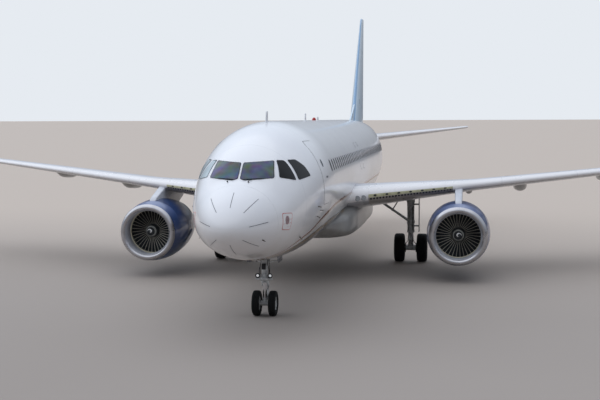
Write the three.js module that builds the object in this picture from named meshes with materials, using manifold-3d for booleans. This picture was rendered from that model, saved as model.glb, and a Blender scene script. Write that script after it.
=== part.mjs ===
// A single-aisle twin-engine airliner standing on its landing gear, in millimetres.
// X points to the aircraft's left wing (right as seen from ahead), Y points aft and Z points up.
// Lengths along the body are stations, measured aft from the tip of the nose. The origin is on the ground,
// on the centre line, half way along the aircraft.
import * as THREE from 'three';
import { mergeVertices } from 'three/addons/utils/BufferGeometryUtils.js';
import { ConvexGeometry } from 'three/addons/geometries/ConvexGeometry.js';
import Module from 'manifold-3d';

const wasm = await Module();
wasm.setup();

// Driving dimensions of the whole aircraft
const LENGTH = 37570;
const HALF_SPAN = 17050;
const FIN_TOP = 11760;
const BODY_HALF_WIDTH = 1975;
const CROWN = 5870;
const BELLY = 1730;
const WIDEST = 3800;
const FIT = 0.3;          // gap left between pieces that touch
const RUNNING = 10;       // gap round a moving surface

// The landing gear: where it stands and how large its tyres are
const NOSE_GEAR = { station: 5070, track: 250, tyreRadius: 381, tyreWidth: 224, rimRadius: 200 };
const MAIN_GEAR = { station: 17710, x: 3795, track: 463, tyreRadius: 584, tyreWidth: 430, rimRadius: 265 };

// The engines: axis of each and the station of the front of its inlet
const ENGINE = { x: 5750, z: 1705, lipStation: 11850 };

const y = station => station - LENGTH / 2;

const part = new THREE.Group();
part.name = 'airliner';

// Finishes
const finish = (color, roughness, metalness) =>
  new THREE.MeshStandardMaterial({ color, roughness, metalness });
const WHITE_PAINT = finish('#e9ebf0', 0.3, 0);
const GREY_PAINT = finish('#b9bcc2', 0.4, 0);
const WING_GREY = finish('#cfd3da', 0.35, 0.1);
const BLUE_PAINT = finish('#1f3a6b', 0.3, 0);
const FIN_BLUE = finish('#86a9d0', 0.35, 0);
const POLISHED = finish('#c9cbd0', 0.22, 1);
const TITANIUM = finish('#6f6a66', 0.45, 0.9);
const FAN_METAL = finish('#2a2c2f', 0.4, 0.8);
const GEAR_PAINT = finish('#d8d8d6', 0.45, 0.1);
const CHROME = finish('#d4d4d6', 0.12, 1);
const TYRE_RUBBER = finish('#17181a', 0.85, 0);
const GLASS = finish('#20262c', 0.08, 0);

// Solids

// A closed solid from any three.js geometry. Corners closer than the weld distance become one.
function solid(geometry, weld = 1e-3) {
  const loose = geometry.index ? geometry.toNonIndexed() : geometry;
  const bare = new THREE.BufferGeometry().setAttribute('position', loose.getAttribute('position').clone());
  const merged = mergeVertices(bare, weld);
  const corners = merged.index.array;
  const kept = [];
  for (let i = 0; i < corners.length; i += 3) {
    const [a, b, c] = [corners[i], corners[i + 1], corners[i + 2]];
    if (a !== b && b !== c && c !== a) kept.push(a, b, c);
  }
  const build = triVerts => new wasm.Manifold(new wasm.Mesh({
    numProp: 3,
    vertProperties: new Float32Array(merged.getAttribute('position').array),
    triVerts: new Uint32Array(triVerts),
  }));
  const made = build(kept);
  if (made.volume() > 0) return made;
  for (let i = 0; i < kept.length; i += 3) [kept[i + 1], kept[i + 2]] = [kept[i + 2], kept[i + 1]];
  return build(kept);
}

function geometryOf(made) {
  const mesh = made.getMesh();
  const stride = mesh.numProp;
  const position = new Float32Array(mesh.numVert * 3);
  for (let i = 0; i < mesh.numVert; i++) {
    position.set(mesh.vertProperties.subarray(i * stride, i * stride + 3), i * 3);
  }
  const geometry = new THREE.BufferGeometry().setAttribute('position', new THREE.BufferAttribute(position, 3));
  geometry.setIndex(new THREE.BufferAttribute(new Uint32Array(mesh.triVerts), 1));
  geometry.computeVertexNormals();
  return geometry;
}

function add(parent, name, made, material) {
  const mesh = new THREE.Mesh(geometryOf(solid(geometryOf(made), 0.02)), material);
  mesh.name = name;
  parent.add(mesh);
  return mesh;
}

const joined = solids => solids.reduce((all, one) => all.add(one));
const without = (made, cutters) => cutters.reduce((left, cutter) => left.subtract(cutter), made);

// A closed solid through rings of equal point counts. Each ring runs once round its section from one
// extreme point to the opposite one and back, and the two end rings are closed by strips across them.
function loft(rings) {
  const count = rings[0].length;
  const position = rings.flat().flatMap(p => [p.x, p.y, p.z]);
  const index = [];
  for (let r = 0; r + 1 < rings.length; r++) {
    for (let i = 0; i < count; i++) {
      const a = r * count + i;
      const b = r * count + (i + 1) % count;
      index.push(a, b, b + count, a, b + count, a + count);
    }
  }
  for (const [base, turn] of [[0, false], [(rings.length - 1) * count, true]]) {
    const cap = (a, b, c) => index.push(...(turn ? [base + a, base + b, base + c] : [base + a, base + c, base + b]));
    cap(0, 1, count - 1);
    for (let k = 1; k < count - k - 1; k++) {
      cap(k, k + 1, count - k);
      if (k + 1 < count - k - 1) cap(k + 1, count - k - 1, count - k);
    }
  }
  const geometry = new THREE.BufferGeometry();
  geometry.setAttribute('position', new THREE.Float32BufferAttribute(position, 3));
  geometry.setIndex(index);
  return solid(geometry);
}

const box = (from, to) => {
  const geometry = new THREE.BoxGeometry(to[0] - from[0], to[1] - from[1], to[2] - from[2]);
  geometry.translate((from[0] + to[0]) / 2, (from[1] + to[1]) / 2, (from[2] + to[2]) / 2);
  return solid(geometry);
};

const BORE_SIDES = 24;

// A round bar between two points.
function bar(from, to, radius, sides = 16, endRadius = radius) {
  const a = new THREE.Vector3(...from);
  const b = new THREE.Vector3(...to);
  const along = b.clone().sub(a);
  const geometry = new THREE.CylinderGeometry(endRadius, radius, along.length(), sides);
  geometry.applyQuaternion(new THREE.Quaternion().setFromUnitVectors(
    new THREE.Vector3(0, 1, 0), along.normalize()));
  geometry.translate((a.x + b.x) / 2, (a.y + b.y) / 2, (a.z + b.z) / 2);
  return solid(geometry);
}

// The hole that a bar of this radius turns in, with the flats of the hole clear of the bar's corners.
const boreRadius = (radius, sides = BORE_SIDES) => (radius + FIT) / Math.cos(Math.PI / sides);

// A flat outline in the YZ plane, extruded along X from one side to the other.
function slab(outline, fromX, toX) {
  const shape = new THREE.Shape(outline.map(([u, v]) => new THREE.Vector2(u, v)));
  const geometry = new THREE.ExtrudeGeometry(shape, { depth: toX - fromX, bevelEnabled: false });
  geometry.applyMatrix4(new THREE.Matrix4().makeBasis(
    new THREE.Vector3(0, 1, 0), new THREE.Vector3(0, 0, 1), new THREE.Vector3(1, 0, 0)));
  geometry.translate(fromX, 0, 0);
  return solid(geometry);
}

// A flat outline in the XZ plane, extruded from one station to another.
function across(outline, from, to) {
  const shape = new THREE.Shape(outline.map(([u, v]) => new THREE.Vector2(u, v)));
  const geometry = new THREE.ExtrudeGeometry(shape, { depth: to - from, bevelEnabled: false });
  geometry.applyMatrix4(new THREE.Matrix4().makeBasis(
    new THREE.Vector3(1, 0, 0), new THREE.Vector3(0, 0, 1), new THREE.Vector3(0, -1, 0)));
  geometry.translate(0, y(to), 0);
  return solid(geometry);
}

const mirrored = made => made.mirror([1, 0, 0]);

// Fuselage

const NOSE_LENGTH = 6700;      // the plan view's nose is half an ellipse of this length
const CHIN_LENGTH = 6500;      // and the lower profile's is this long
const TIP_HEIGHT = 3120;
const TIP_RADIUS = 40;
const RING_POINTS = 32;

// The nose's top line, then the tail. Columns: station, height of the top line.
const TOP_LINE = [
  [0, 3150], [100, 3400], [300, 3640], [600, 3890], [1000, 4130], [1450, 4370], [1850, 4700],
  [2350, 5000], [3000, 5290], [4000, 5600], [5000, 5780], [6000, 5860], [NOSE_LENGTH, CROWN],
];
// Tail sections. Columns: station, half width, top, bottom, height of the widest point.
const TAIL = [
  [24000, 1975, 5870, 1730, 3800],
  [26500, 1930, 5868, 1960, 3880],
  [29000, 1760, 5850, 2480, 4060],
  [31500, 1440, 5800, 3130, 4350],
  [33500, 1080, 5700, 3690, 4620],
  [35500, 690, 5530, 4230, 4850],
  [37000, 360, 5330, 4620, 4960],
  [LENGTH, 230, 5200, 4760, 4980],
];

const between = (table, at, column) => {
  let k = 1;
  while (k < table.length - 1 && table[k][0] < at) k++;
  const [low, high] = [table[k - 1], table[k]];
  const share = Math.min(1, Math.max(0, (at - low[0]) / (high[0] - low[0])));
  return low[column] + share * (high[column] - low[column]);
};

const bow = (station, length) => Math.sqrt(Math.max(0, 1 - (1 - Math.min(1, station / length)) ** 2));

function bodySection(station) {
  if (station >= TAIL[0][0]) {
    const [halfWidth, top, bottom, widest] = [1, 2, 3, 4].map(column => between(TAIL, station, column));
    return { halfWidth, top, bottom, widest };
  }
  if (station >= NOSE_LENGTH) return { halfWidth: BODY_HALF_WIDTH, top: CROWN, bottom: BELLY, widest: WIDEST };
  const rise = Math.min(1, station / 5500);
  return {
    halfWidth: Math.max(TIP_RADIUS, BODY_HALF_WIDTH * bow(station, NOSE_LENGTH)),
    top: between(TOP_LINE, station, 1),
    bottom: Math.min(TIP_HEIGHT - TIP_RADIUS, TIP_HEIGHT - (TIP_HEIGHT - BELLY) * bow(station, CHIN_LENGTH)),
    widest: TIP_HEIGHT + (WIDEST - TIP_HEIGHT) * rise * rise * (3 - 2 * rise),
  };
}

// One ring round a body section: two half ellipses that meet at the widest height.
function bodyRing({ halfWidth, top, bottom, widest }, station, grow = 0) {
  return Array.from({ length: RING_POINTS }, (_, k) => {
    const angle = 2 * Math.PI * k / RING_POINTS;
    const reach = (Math.sin(angle) > 0 ? top - widest : widest - bottom) + grow;
    return new THREE.Vector3(
      (halfWidth + grow) * Math.cos(angle), y(station), widest + reach * Math.sin(angle));
  });
}

const NOSE_STATIONS = [0, 50, 180, 420, 760, 1200, 1750, 2350, 3100, 4000, 5200, NOSE_LENGTH];

// The body between two stations, as a solid; grow offsets its skin outward.
function body(from, to, grow = 0) {
  const stations = [...NOSE_STATIONS, ...TAIL.map(row => row[0])].filter(s => s > from && s < to);
  return loft([from, ...stations, to].map(s => bodyRing(bodySection(s), s, grow)));
}

// The outer layer of the body between two stations, this deep. A cutter also rises above the skin.
const layer = (from, to, depth, rise = 0) => body(from, to, rise).subtract(body(Math.max(0, from - 100), to + 100, -depth));

// Wings

// Planform and height. Columns: distance from the centre line, stations of the leading and trailing edge,
// heights of the leading and trailing edge, thickness.
const WING = [
  [1200, 11597, 18090, 2990, 2670, 1010],
  [6400, 14304, 18150, 3400, 3200, 450],
  [16990, 19817, 21282, 4236, 4203, 160],
];
// The aerofoil from the leading edge. Columns: share of the chord, upper and lower surface as shares of
// the thickness.
const AEROFOIL = [
  [0.015, 0.20, -0.17], [0.05, 0.34, -0.28], [0.13, 0.47, -0.39], [0.28, 0.55, -0.45], [0.45, 0.53, -0.42],
  [0.6, 0.45, -0.3], [0.72, 0.34, -0.18], [0.84, 0.21, -0.08], [1, 0.03, -0.02],
];
// Symmetrical section of the fin and tailplane, in the same columns.
const TAIL_FOIL = [
  [0.02, 0.2, -0.2], [0.08, 0.36, -0.36], [0.2, 0.47, -0.47], [0.35, 0.5, -0.5], [0.5, 0.44, -0.44],
  [0.7, 0.28, -0.28], [0.85, 0.15, -0.15], [1, 0.03, -0.03],
];

// A point on a wing, from its distance out, share of the chord and height as a share of the thickness.
function onWing(x, share, rise = 0) {
  const [le, te, leHeight, teHeight, thick] = [1, 2, 3, 4, 5].map(column => between(WING, x, column));
  return new THREE.Vector3(x, y(le + share * (te - le)), leHeight + share * (teHeight - leHeight) + rise * thick);
}
const wingTop = share => {
  const k = AEROFOIL.findIndex(row => row[0] >= share);
  const [low, high] = [AEROFOIL[k - 1], AEROFOIL[k]];
  return low[1] + (high[1] - low[1]) * (share - low[0]) / (high[0] - low[0]);
};
const foilRing = (table, place) => [place(0, 0), ...table.map(row => place(row[0], row[1])),
  ...table.toReversed().map(row => place(row[0], row[2]))];

// The wing's solid; grow lifts its skin all round.
const wingSolid = grow => loft(WING.map(([x]) => foilRing(AEROFOIL, (share, rise) =>
  onWing(x, share, rise).add(new THREE.Vector3(0, (2 * share - 1) * grow, Math.sign(rise) * grow)))));
const wingShape = wingSolid(0);

// The block behind a hinge line and the round nose along it. Grow widens both for the opening.
function behindHinge(a, b, radii, grow) {
  const along = b.clone().sub(a);
  const span = along.length();
  along.normalize();
  const aft = new THREE.Vector3(0, 1, 0).addScaledVector(along, -along.y).normalize();
  const geometry = new THREE.BoxGeometry(span + 2 * grow, 3000, 1600);
  geometry.translate(span / 2, 1500, 0);
  geometry.applyMatrix4(new THREE.Matrix4().makeBasis(along, aft, along.clone().cross(aft)));
  geometry.translate(a.x, a.y, a.z);
  const ends = [a.clone().addScaledVector(along, -grow), b.clone().addScaledVector(along, grow)];
  const nose = bar(ends[0].toArray(), ends[1].toArray(), radii[0] + grow, 20, radii[1] + grow);
  return { block: solid(geometry), nose };
}

// A hinge pin that runs on past both ends of a moving surface, or the bore it turns in.
const PIN = { radius: 14, reach: 45, sides: 12 };
function hingePin({ a, b }, bored) {
  const along = b.clone().sub(a).normalize();
  const reach = PIN.reach + (bored ? 5 : 0);
  const [from, to] = [a.clone().addScaledVector(along, -reach), b.clone().addScaledVector(along, reach)];
  return bar(from.toArray(), to.toArray(), bored ? boreRadius(PIN.radius, PIN.sides) : PIN.radius, PIN.sides);
}
function surfaceOf(shape, hinge) {
  const { block, nose } = behindHinge(hinge.a, hinge.b, hinge.radii, 0);
  return joined([shape.intersect(block), nose, hingePin(hinge, false)]);
}
function openingFor(hinge) {
  const { block, nose } = behindHinge(hinge.a, hinge.b, hinge.radii, RUNNING);
  return joined([block, nose, hingePin(hinge, true)]);
}

// Ailerons
const AILERON_SHARE = 0.74;
const AILERON_MIDDLE = 0.075;
const AILERON = {
  a: onWing(12700, AILERON_SHARE, AILERON_MIDDLE),
  b: onWing(15900, AILERON_SHARE, AILERON_MIDDLE),
  radii: [12700, 15900].map(x => 0.235 * between(WING, x, 5)),
};

// Spoilers: flat panels let into the wing's upper skin. Columns: name, inner and outer end, shares of the
// chord at the hinge and the rear edge, number of panels on the one hinge bar.
const SPOILERS = [
  ['inner', 3300, 6000, 0.7, 0.82, 1],
  ['outer', 6700, 12200, 0.66, 0.8, 4],
];
const SPOILER_DEPTH = 26;
const PANEL_GAP = 16;

// A spoiler's hinge line: a little aft of its front edge and below the skin
const spoilerHinge = ([, from, to, front]) => {
  const [a, b] = [from, to].map(x => onWing(x, front, wingTop(front)).add(new THREE.Vector3(0, 18, -16)));
  return { a, b };
};

// The block over a spoiler. The panel's front face slopes aft going down so that its toe swings clear.
function overSpoiler([, from, to, front, rear], grow, slope) {
  const reach = 260;
  const corners = [[from - grow, -1], [to + grow, 1]].flatMap(([x]) => {
    const hinge = onWing(x, front, wingTop(front));
    const back = onWing(x, rear, wingTop(rear));
    return [
      [x, hinge.y - slope * reach - grow, hinge.z + reach], [x, hinge.y + slope * reach - grow, hinge.z - reach],
      [x, back.y + grow, hinge.z + reach], [x, back.y + grow, hinge.z - reach],
    ];
  });
  return solid(new ConvexGeometry(corners.map(corner => new THREE.Vector3(...corner))));
}
const wingLayer = depth => wingShape.subtract(wingShape.translate([0, 0, -depth]));
function spoiler(row) {
  const [, from, to, front, rear, panels] = row;
  const panel = wingLayer(SPOILER_DEPTH).intersect(overSpoiler(row, 0, 1)).add(hingePin(spoilerHinge(row), false));
  const slots = Array.from({ length: panels - 1 }, (_, k) => {
    const x = from + (to - from) * (k + 1) / panels;
    const hinge = onWing(x, front, 0);
    return box([x - PANEL_GAP / 2, hinge.y + 70, hinge.z - 500], [x + PANEL_GAP / 2, hinge.y + 2500, hinge.z + 900]);
  });
  return without(panel, slots);
}
const spoilerPocket = row => wingShape.translate([0, 0, RUNNING])
  .subtract(wingShape.translate([0, 0, -SPOILER_DEPTH - 1.5 * RUNNING]))
  .intersect(overSpoiler(row, 1.5 * RUNNING, 0)).add(hingePin(spoilerHinge(row), true));

// The inboard slat: the front of the wing between body and pylon.
const SLAT = { from: 2500, to: 5250, share: 0.13 };
function slatBlock(grow) {
  const corners = [SLAT.from - grow, SLAT.to + grow].flatMap(x => {
    const line = onWing(x, SLAT.share, 0);
    const nose = onWing(x, 0, 0);
    return [-900, 900].flatMap(z => [
      new THREE.Vector3(x, nose.y - 500, nose.z + z), new THREE.Vector3(x, line.y + grow, line.z + z)]);
  });
  return solid(new ConvexGeometry(corners));
}

// Flap-track fairings under the wing. Columns: distance out, share of the chord where it starts, overhang
// behind the trailing edge, half width, depth below the wing.
const FAIRINGS = [
  [6150, 0.62, 420, 150, 330],
  [8400, 0.52, 620, 150, 320],
  [11850, 0.5, 560, 130, 270],
];
// Rings of a fairing. Columns: share of its length, share of its width, share of its depth.
const FAIRING_RINGS = [[0, 0.1, 0.1], [0.12, 0.6, 0.5], [0.35, 1, 0.95], [0.6, 1, 1], [0.85, 0.6, 0.62], [1, 0.1, 0.2]];
function trackFairing([x, share, overhang, halfWidth, depth], grow = 0) {
  const front = onWing(x, share, -0.25);
  const back = onWing(x, 1, 0);
  const end = back.y + overhang;
  return loft(FAIRING_RINGS.map(([along, wide, deep]) => {
    const at = front.y + along * (end - front.y);
    const top = front.z + 60 + (back.z - front.z - 60) * Math.min(1, (at - front.y) / (back.y - front.y)) - 30 * along;
    return Array.from({ length: 12 }, (_, k) => {
      const angle = 2 * Math.PI * k / 12;
      const z = top - depth * deep / 2 + Math.sin(angle) * (depth * deep / 2 + grow);
      return new THREE.Vector3(x + (halfWidth * wide + grow) * Math.cos(angle), at, z);
    });
  }));
}

// The arrow-shaped fence at the wing tip, as stations and heights.
const FENCE = [[19830, 4235], [20950, 5010], [21430, 5060], [21350, 4215], [21330, 3480], [20900, 3520]];
const FENCE_THICK = 70;
const fence = slab(FENCE.map(([station, z]) => [y(station), z]), HALF_SPAN - FENCE_THICK, HALF_SPAN);

// A flat pad under each wing where a jack goes
const WING_JACK = { x: 6900, station: 17000, radius: 75, face: 3150 };

// Tail

// Fin. Columns: height, stations of the leading and trailing edge, thickness.
const FIN = [[5350, 30890, 36960, 560], [5900, 31330, 37000, 540], [11660, 35860, 37380, 170], [FIN_TOP, 36120, 37360, 110]];
const finShape = loft(FIN.map(([z, le, te, thick]) => foilRing(TAIL_FOIL, (share, side) =>
  new THREE.Vector3(side * thick, y(le + share * (te - le)), z))));
const DORSAL = [[29700, 5850], [32100, 6760], [32500, 5700], [30500, 5700]];
const onFin = (z, share) => {
  const [le, te] = [1, 2].map(column => between(FIN, z, column));
  return new THREE.Vector3(0, y(le + share * (te - le)), z);
};
const RUDDER = {
  a: onFin(6050, 0.7),
  b: onFin(11480, 0.66),
  radii: [6050, 11480].map(z => 0.29 * between(FIN, z, 3)),
};

// Tailplane. Columns: distance out, stations of the leading and trailing edge, height, thickness.
const TAILPLANE = [[250, 31750, 35900, 4790, 440], [6225, 35350, 36750, 5420, 140]];
const onTailplane = (x, share, side = 0) => {
  const [le, te, z, thick] = [1, 2, 3, 4].map(column => between(TAILPLANE, x, column));
  return new THREE.Vector3(x, y(le + share * (te - le)), z + side * thick);
};
const tailplaneShape = loft(TAILPLANE.map(([x]) => foilRing(TAIL_FOIL, (share, side) => onTailplane(x, share, side))));
const ELEVATOR = {
  a: onTailplane(1300, 0.7),
  b: onTailplane(6060, 0.7),
  radii: [1300, 6060].map(x => 0.27 * between(TAILPLANE, x, 4)),
};

// Doors

// Passenger doors stand flush in the skin. Columns: name, stations of the front and rear edge, sill, top.
const DOOR_DEPTH = 22;
const DOORS = [['front', 4615, 5425, 3420, 5270], ['rear', 29050, 29860, 3470, 5290]];
// Cargo doors, in the same columns, on the right side. They hinge along their top edge.
const CARGO_DEPTH = 60;
const CARGO_GAP = 12;
const CARGO = [['forward', 7250, 9070, 2050, 3250], ['aft', 22000, 23820, 2050, 3250]];
const HOLD_REACH = 550;     // the hold's inner wall, from the centre line
const SILL = 70;            // the hold is smaller than its door all round by this much

const sideBox = (side, [, from, to, low, high], grow) => {
  const [inner, outer] = [side * 400, side * 2600].sort((a, b) => a - b);
  return box([inner, y(from) - grow, low - grow], [outer, y(to) + grow, high + grow]);
};
const skinPanel = (side, row, depth, grow = 0) =>
  layer(row[1] - 80, row[2] + 80, depth, 50 * Math.sign(grow)).intersect(sideBox(side, row, grow));
const holdRoom = ([, from, to, low, high]) =>
  box([-2600, y(from + SILL), low + SILL], [-HOLD_REACH, y(to - SILL), high - SILL]);

// A cargo door's hinge: a bar along the door's top edge just inside the skin, on a pin at each end
const CARGO_HINGE = { rise: 6, inside: 16, bar: 12, groove: 24 };
function cargoHinge([, from, to, , high]) {
  const z = high + CARGO_HINGE.rise;
  const x = -BODY_HALF_WIDTH * Math.sqrt(1 - ((WIDEST - z) / (WIDEST - BELLY)) ** 2) + CARGO_HINGE.inside;
  return { a: new THREE.Vector3(x, y(from), z), b: new THREE.Vector3(x, y(to), z) };
}
const alongHinge = ({ a, b }, past, radius) => bar([a.x, a.y - past, a.z], [b.x, b.y + past, b.z], radius, 16);
const cargoOpening = row => joined([
  skinPanel(-1, row, CARGO_DEPTH + CARGO_GAP, CARGO_GAP), holdRoom(row), hingePin(cargoHinge(row), true),
  alongHinge(cargoHinge(row), CARGO_GAP, CARGO_HINGE.groove),
]);
const cargoDoor = row => joined([
  skinPanel(-1, row, CARGO_DEPTH), alongHinge(cargoHinge(row), 0, CARGO_HINGE.bar), hingePin(cargoHinge(row), false),
]);

// Cockpit glazing: one flush band. The front outline is in X and Z, the side outline in stations and Z.
const GLASS_DEPTH = 16;
const FRONT_PANES = [[-870, 4350], [870, 4350], [800, 4800], [-800, 4800]];
const SIDE_PANES = [[1880, 4345], [2600, 4275], [3620, 4330], [3260, 4790], [2300, 4800], [2000, 4560]];

// An outline drawn in by this much towards its middle.
function drawnIn(outline, inset) {
  const middle = [0, 1].map(axis => outline.reduce((sum, p) => sum + p[axis], 0) / outline.length);
  return outline.map(p => {
    const share = 1 - inset / Math.hypot(p[0] - middle[0], p[1] - middle[1]);
    return p.map((value, axis) => middle[axis] + (value - middle[axis]) * share);
  });
}
function glazing(depth, inset, rise = 0) {
  const front = across(drawnIn(FRONT_PANES, inset), 1200, 2450);
  const sides = slab(drawnIn(SIDE_PANES, inset).map(([station, z]) => [y(station), z]), -1960, 1960);
  return layer(1100, 4000, depth, rise).intersect(front.add(sides));
}

// Nose-gear bay: the opening in the belly and the two aft doors that hang open beside it
const BAY = { halfWidth: 330, from: 4880, to: 6150, top: 2480 };
const BAY_DOOR = { from: 5330, to: 6130, low: 1230, high: 1840, thick: 24 };

// Blade antennas, standing on the skin. Columns: station, height of the foot, height above it, length.
// A negative height hangs below.
const ANTENNAS = [[5500, 5760, 400, 330], [13500, 5800, 330, 280], [9800, 1790, -330, 260]];
const antenna = ([station, foot, rise, length]) => slab([
  [y(station - length / 2), foot], [y(station), foot + rise], [y(station + length * 0.42), foot + rise],
  [y(station + length / 2), foot],
], -18, 18);

// Belly fairing. Columns: station, half width, top, bottom.
const FAIRED = [
  [11000, 1500, 2350, 1800], [11600, 1900, 2650, 1640], [12600, 2090, 2900, 1520], [15000, 2130, 2980, 1470],
  [18500, 2120, 2950, 1470], [20500, 1990, 2780, 1560], [21850, 1500, 2350, 1790],
];
const bellyFairing = loft(FAIRED.map(([station, halfWidth, top, bottom]) =>
  Array.from({ length: 32 }, (_, k) => {
    const angle = 2 * Math.PI * k / 32;
    const square = value => Math.sign(value) * Math.abs(value) ** 0.55;
    return new THREE.Vector3(halfWidth * square(Math.cos(angle)), y(station),
      (top + bottom) / 2 + (top - bottom) / 2 * square(Math.sin(angle)));
  })));

// Nose jack pad, a flat disc under the nose
const NOSE_JACK = { station: 2750, radius: 70, face: 1950 };

// Engines. All radii and distances are from the engine's axis and the front of its inlet.
const SIDES = 28;
// Lip ring of the inlet. Columns: radius, distance aft.
const LIP = [
  [1072, 270], [1036, 115], [990, 25], [938, 0], [888, 25], [828, 130], [796, 270], [1072, 270],
];
// Cowl behind the lip: outer skin, nozzle edge, then the duct back to the front.
const COWL = [
  [1073, 270], [1137, 800], [1168, 1500], [1110, 2500], [985, 3350], [968, 3350], [905, 2200], [835, 1300],
  [813, 1080], [813, 640], [796, 270], [1073, 270],
];
// Core engine: front frame, core cowl, nozzle and plug, from the axis and back to it.
const CORE = [
  [0, 1040], [400, 1040], [540, 1600], [630, 2300], [600, 3000], [470, 4000], [425, 4000], [380, 3850],
  [320, 3900], [200, 4350], [40, 4700], [0, 4700],
];
const SPINNER = [[0, 400], [110, 450], [205, 580], [262, 760], [268, 1010], [0, 1010]];
const VANES = 8;
const FAN = { blades: 36, tip: 795, root: 240, middle: 880, shaft: 60 };
// Fan blade. Columns: radius, chord, thickness, angle from the axis in degrees.
const BLADE = [[FAN.root, 165, 14, 36], [FAN.tip, 185, 8, 60]];

const lathe = (profile, sides = SIDES) =>
  solid(new THREE.LatheGeometry(profile.map(([r, along]) => new THREE.Vector2(r, along)), sides));

function fan() {
  const blade = loft(BLADE.map(([r, chord, thick, degrees]) => {
    const angle = THREE.MathUtils.degToRad(degrees);
    return [[-0.5, 0], [0, 0.5], [0.5, 0], [0, -0.5]].map(([along, side]) => new THREE.Vector3(
      along * chord * Math.sin(angle) + side * thick * Math.cos(angle),
      FAN.middle + along * chord * Math.cos(angle) - side * thick * Math.sin(angle), r));
  }));
  const ring = Array.from({ length: FAN.blades }, (_, k) => blade.rotate([0, 360 * k / FAN.blades, 0]));
  const shaft = bar([0, 990, 0], [0, 1500, 0], FAN.shaft, BORE_SIDES);
  return ring.reduce((all, one) => all.add(one), lathe(SPINNER, 12).add(shaft));
}
function core() {
  const vane = box([-14, 1330, 380], [14, 1480, 900]);
  const vanes = Array.from({ length: VANES }, (_, k) => vane.rotate([0, 360 * (k + 0.5) / VANES, 0]));
  const wall = COWL.filter(([r, along]) => r === 905 || r === 835).toReversed();
  const duct = lathe([[0, wall[0][1]], ...wall.map(([r, along]) => [r - 2 * FIT, along]), [0, wall[1][1]]]);
  const bore = bar([0, 900, 0], [0, 1520, 0], boreRadius(FAN.shaft), BORE_SIDES);
  return joined([lathe(CORE), joined(vanes).intersect(duct)]).subtract(bore);
}
const toEngine = made => made.translate([ENGINE.x, y(ENGINE.lipStation), ENGINE.z]);

// Pylon between engine and wing, as stations and heights, and its thickness.
const PYLON = [
  [12950, 2700], [13150, 2930], [14150, 3330], [15000, 3420], [16900, 3200], [17300, 3000], [16000, 2560],
  [15300, 2150], [14600, 2150],
];
const PYLON_THICK = 300;

// Landing gear

// Cross-section of a tyre, as shares of the way from rim to tread and of its half width.
const TYRE = [[0, 0.66], [0.45, 1], [0.86, 0.9], [1, 0.5]];
const TYRE_SIDES = 24;
function tyre(gear, x) {
  const half = gear.tyreWidth / 2;
  const reach = gear.tyreRadius - gear.rimRadius - FIT;
  const point = ([out, wide], sign) => [gear.rimRadius + FIT + out * reach, sign * wide * half];
  const profile = [...TYRE.map(row => point(row, -1)), ...TYRE.toReversed().map(row => point(row, 1))];
  return lathe([...profile, profile[0]], TYRE_SIDES).rotate([0, 0, 90]).translate([x, 0, 0]);
}
// Both rims on their axle. The rim is dished on its outer side.
function wheels(gear, axleRadius, x) {
  const half = gear.tyreWidth / 2;
  const r = gear.rimRadius;
  const dish = [
    [0, -half * 0.66], [r, -half * 0.66], [r, half * 0.66], [r * 0.75, half * 0.1], [r * 0.4, half * 0.75],
    [0, half * 0.75],
  ];
  const rim = lathe(dish, TYRE_SIDES).rotate([0, 0, -90]);
  return joined([
    rim.translate([gear.track, 0, 0]), rim.mirror([1, 0, 0]).translate([-gear.track, 0, 0]),
    bar([-gear.track, 0, 0], [gear.track, 0, 0], axleRadius, BORE_SIDES),
  ]).translate([x, 0, 0]);
}
const standing = (gear, made) => made.translate([0, y(gear.station), gear.tyreRadius]);

// Nose leg: the fixed cylinder, its drag stay and lamps, and below it the piston that turns in it
const NOSE_AXLE = 42;
const NOSE_LEG = { radius: 92, foot: 1010, piston: 62, top: BAY.top - FIT, bore: 1260, lamp: 1300 };
function noseLeg() {
  const at = y(NOSE_GEAR.station);
  const cylinder = bar([0, at, NOSE_LEG.foot], [0, at, NOSE_LEG.top], NOSE_LEG.radius, 20);
  const collar = bar([0, at, NOSE_LEG.foot + 40], [0, at, NOSE_LEG.foot + 190], NOSE_LEG.radius + 32, 20);
  const stay = bar([0, at, 1650], [0, at + 760, NOSE_LEG.top - 40], 45, 12);
  const trunnion = bar([-BAY.halfWidth + FIT, at, 2300], [BAY.halfWidth - FIT, at, 2300], 60, 12);
  const lamps = [-190, 190].map(x => joined([
    bar([x, at - 60, NOSE_LEG.lamp], [x, at - 170, NOSE_LEG.lamp], 62, 16, 88),
    bar([x, at - 60, NOSE_LEG.lamp], [0, at, NOSE_LEG.lamp], 22, 8)]));
  const bore = bar([0, at, NOSE_LEG.foot - 50], [0, at, NOSE_LEG.bore], boreRadius(NOSE_LEG.piston), BORE_SIDES);
  return joined([cylinder, collar, stay, trunnion, ...lamps]).subtract(bore);
}
function noseFork() {
  const at = y(NOSE_GEAR.station);
  const axle = NOSE_GEAR.tyreRadius;
  const piston = bar([0, at, axle], [0, at, NOSE_LEG.bore - 12], NOSE_LEG.piston, BORE_SIDES);
  const sleeve = bar([-120, at, axle], [120, at, axle], 82, 16);
  const links = [[[100, 560], [330, 760]], [[330, 760], [110, 960]]].map(([from, to]) =>
    bar([0, at + from[0], from[1]], [0, at + to[0], to[1]], 30, 8));
  const lug = box([-40, at + 20, 500], [40, at + 150, 620]);
  const topLug = box([-40, at + 30, 900], [40, at + 150, 985]);
  const towBar = bar([-150, at - 112, axle], [150, at - 112, axle], 26, 12);
  const towLug = box([-60, at - 112, axle - 30], [60, at, axle + 30]);
  const bore = bar([-200, at, axle], [200, at, axle], boreRadius(NOSE_AXLE), BORE_SIDES);
  return joined([piston, sleeve, ...links, lug, topLug, towBar, towLug]).subtract(bore);
}

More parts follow.
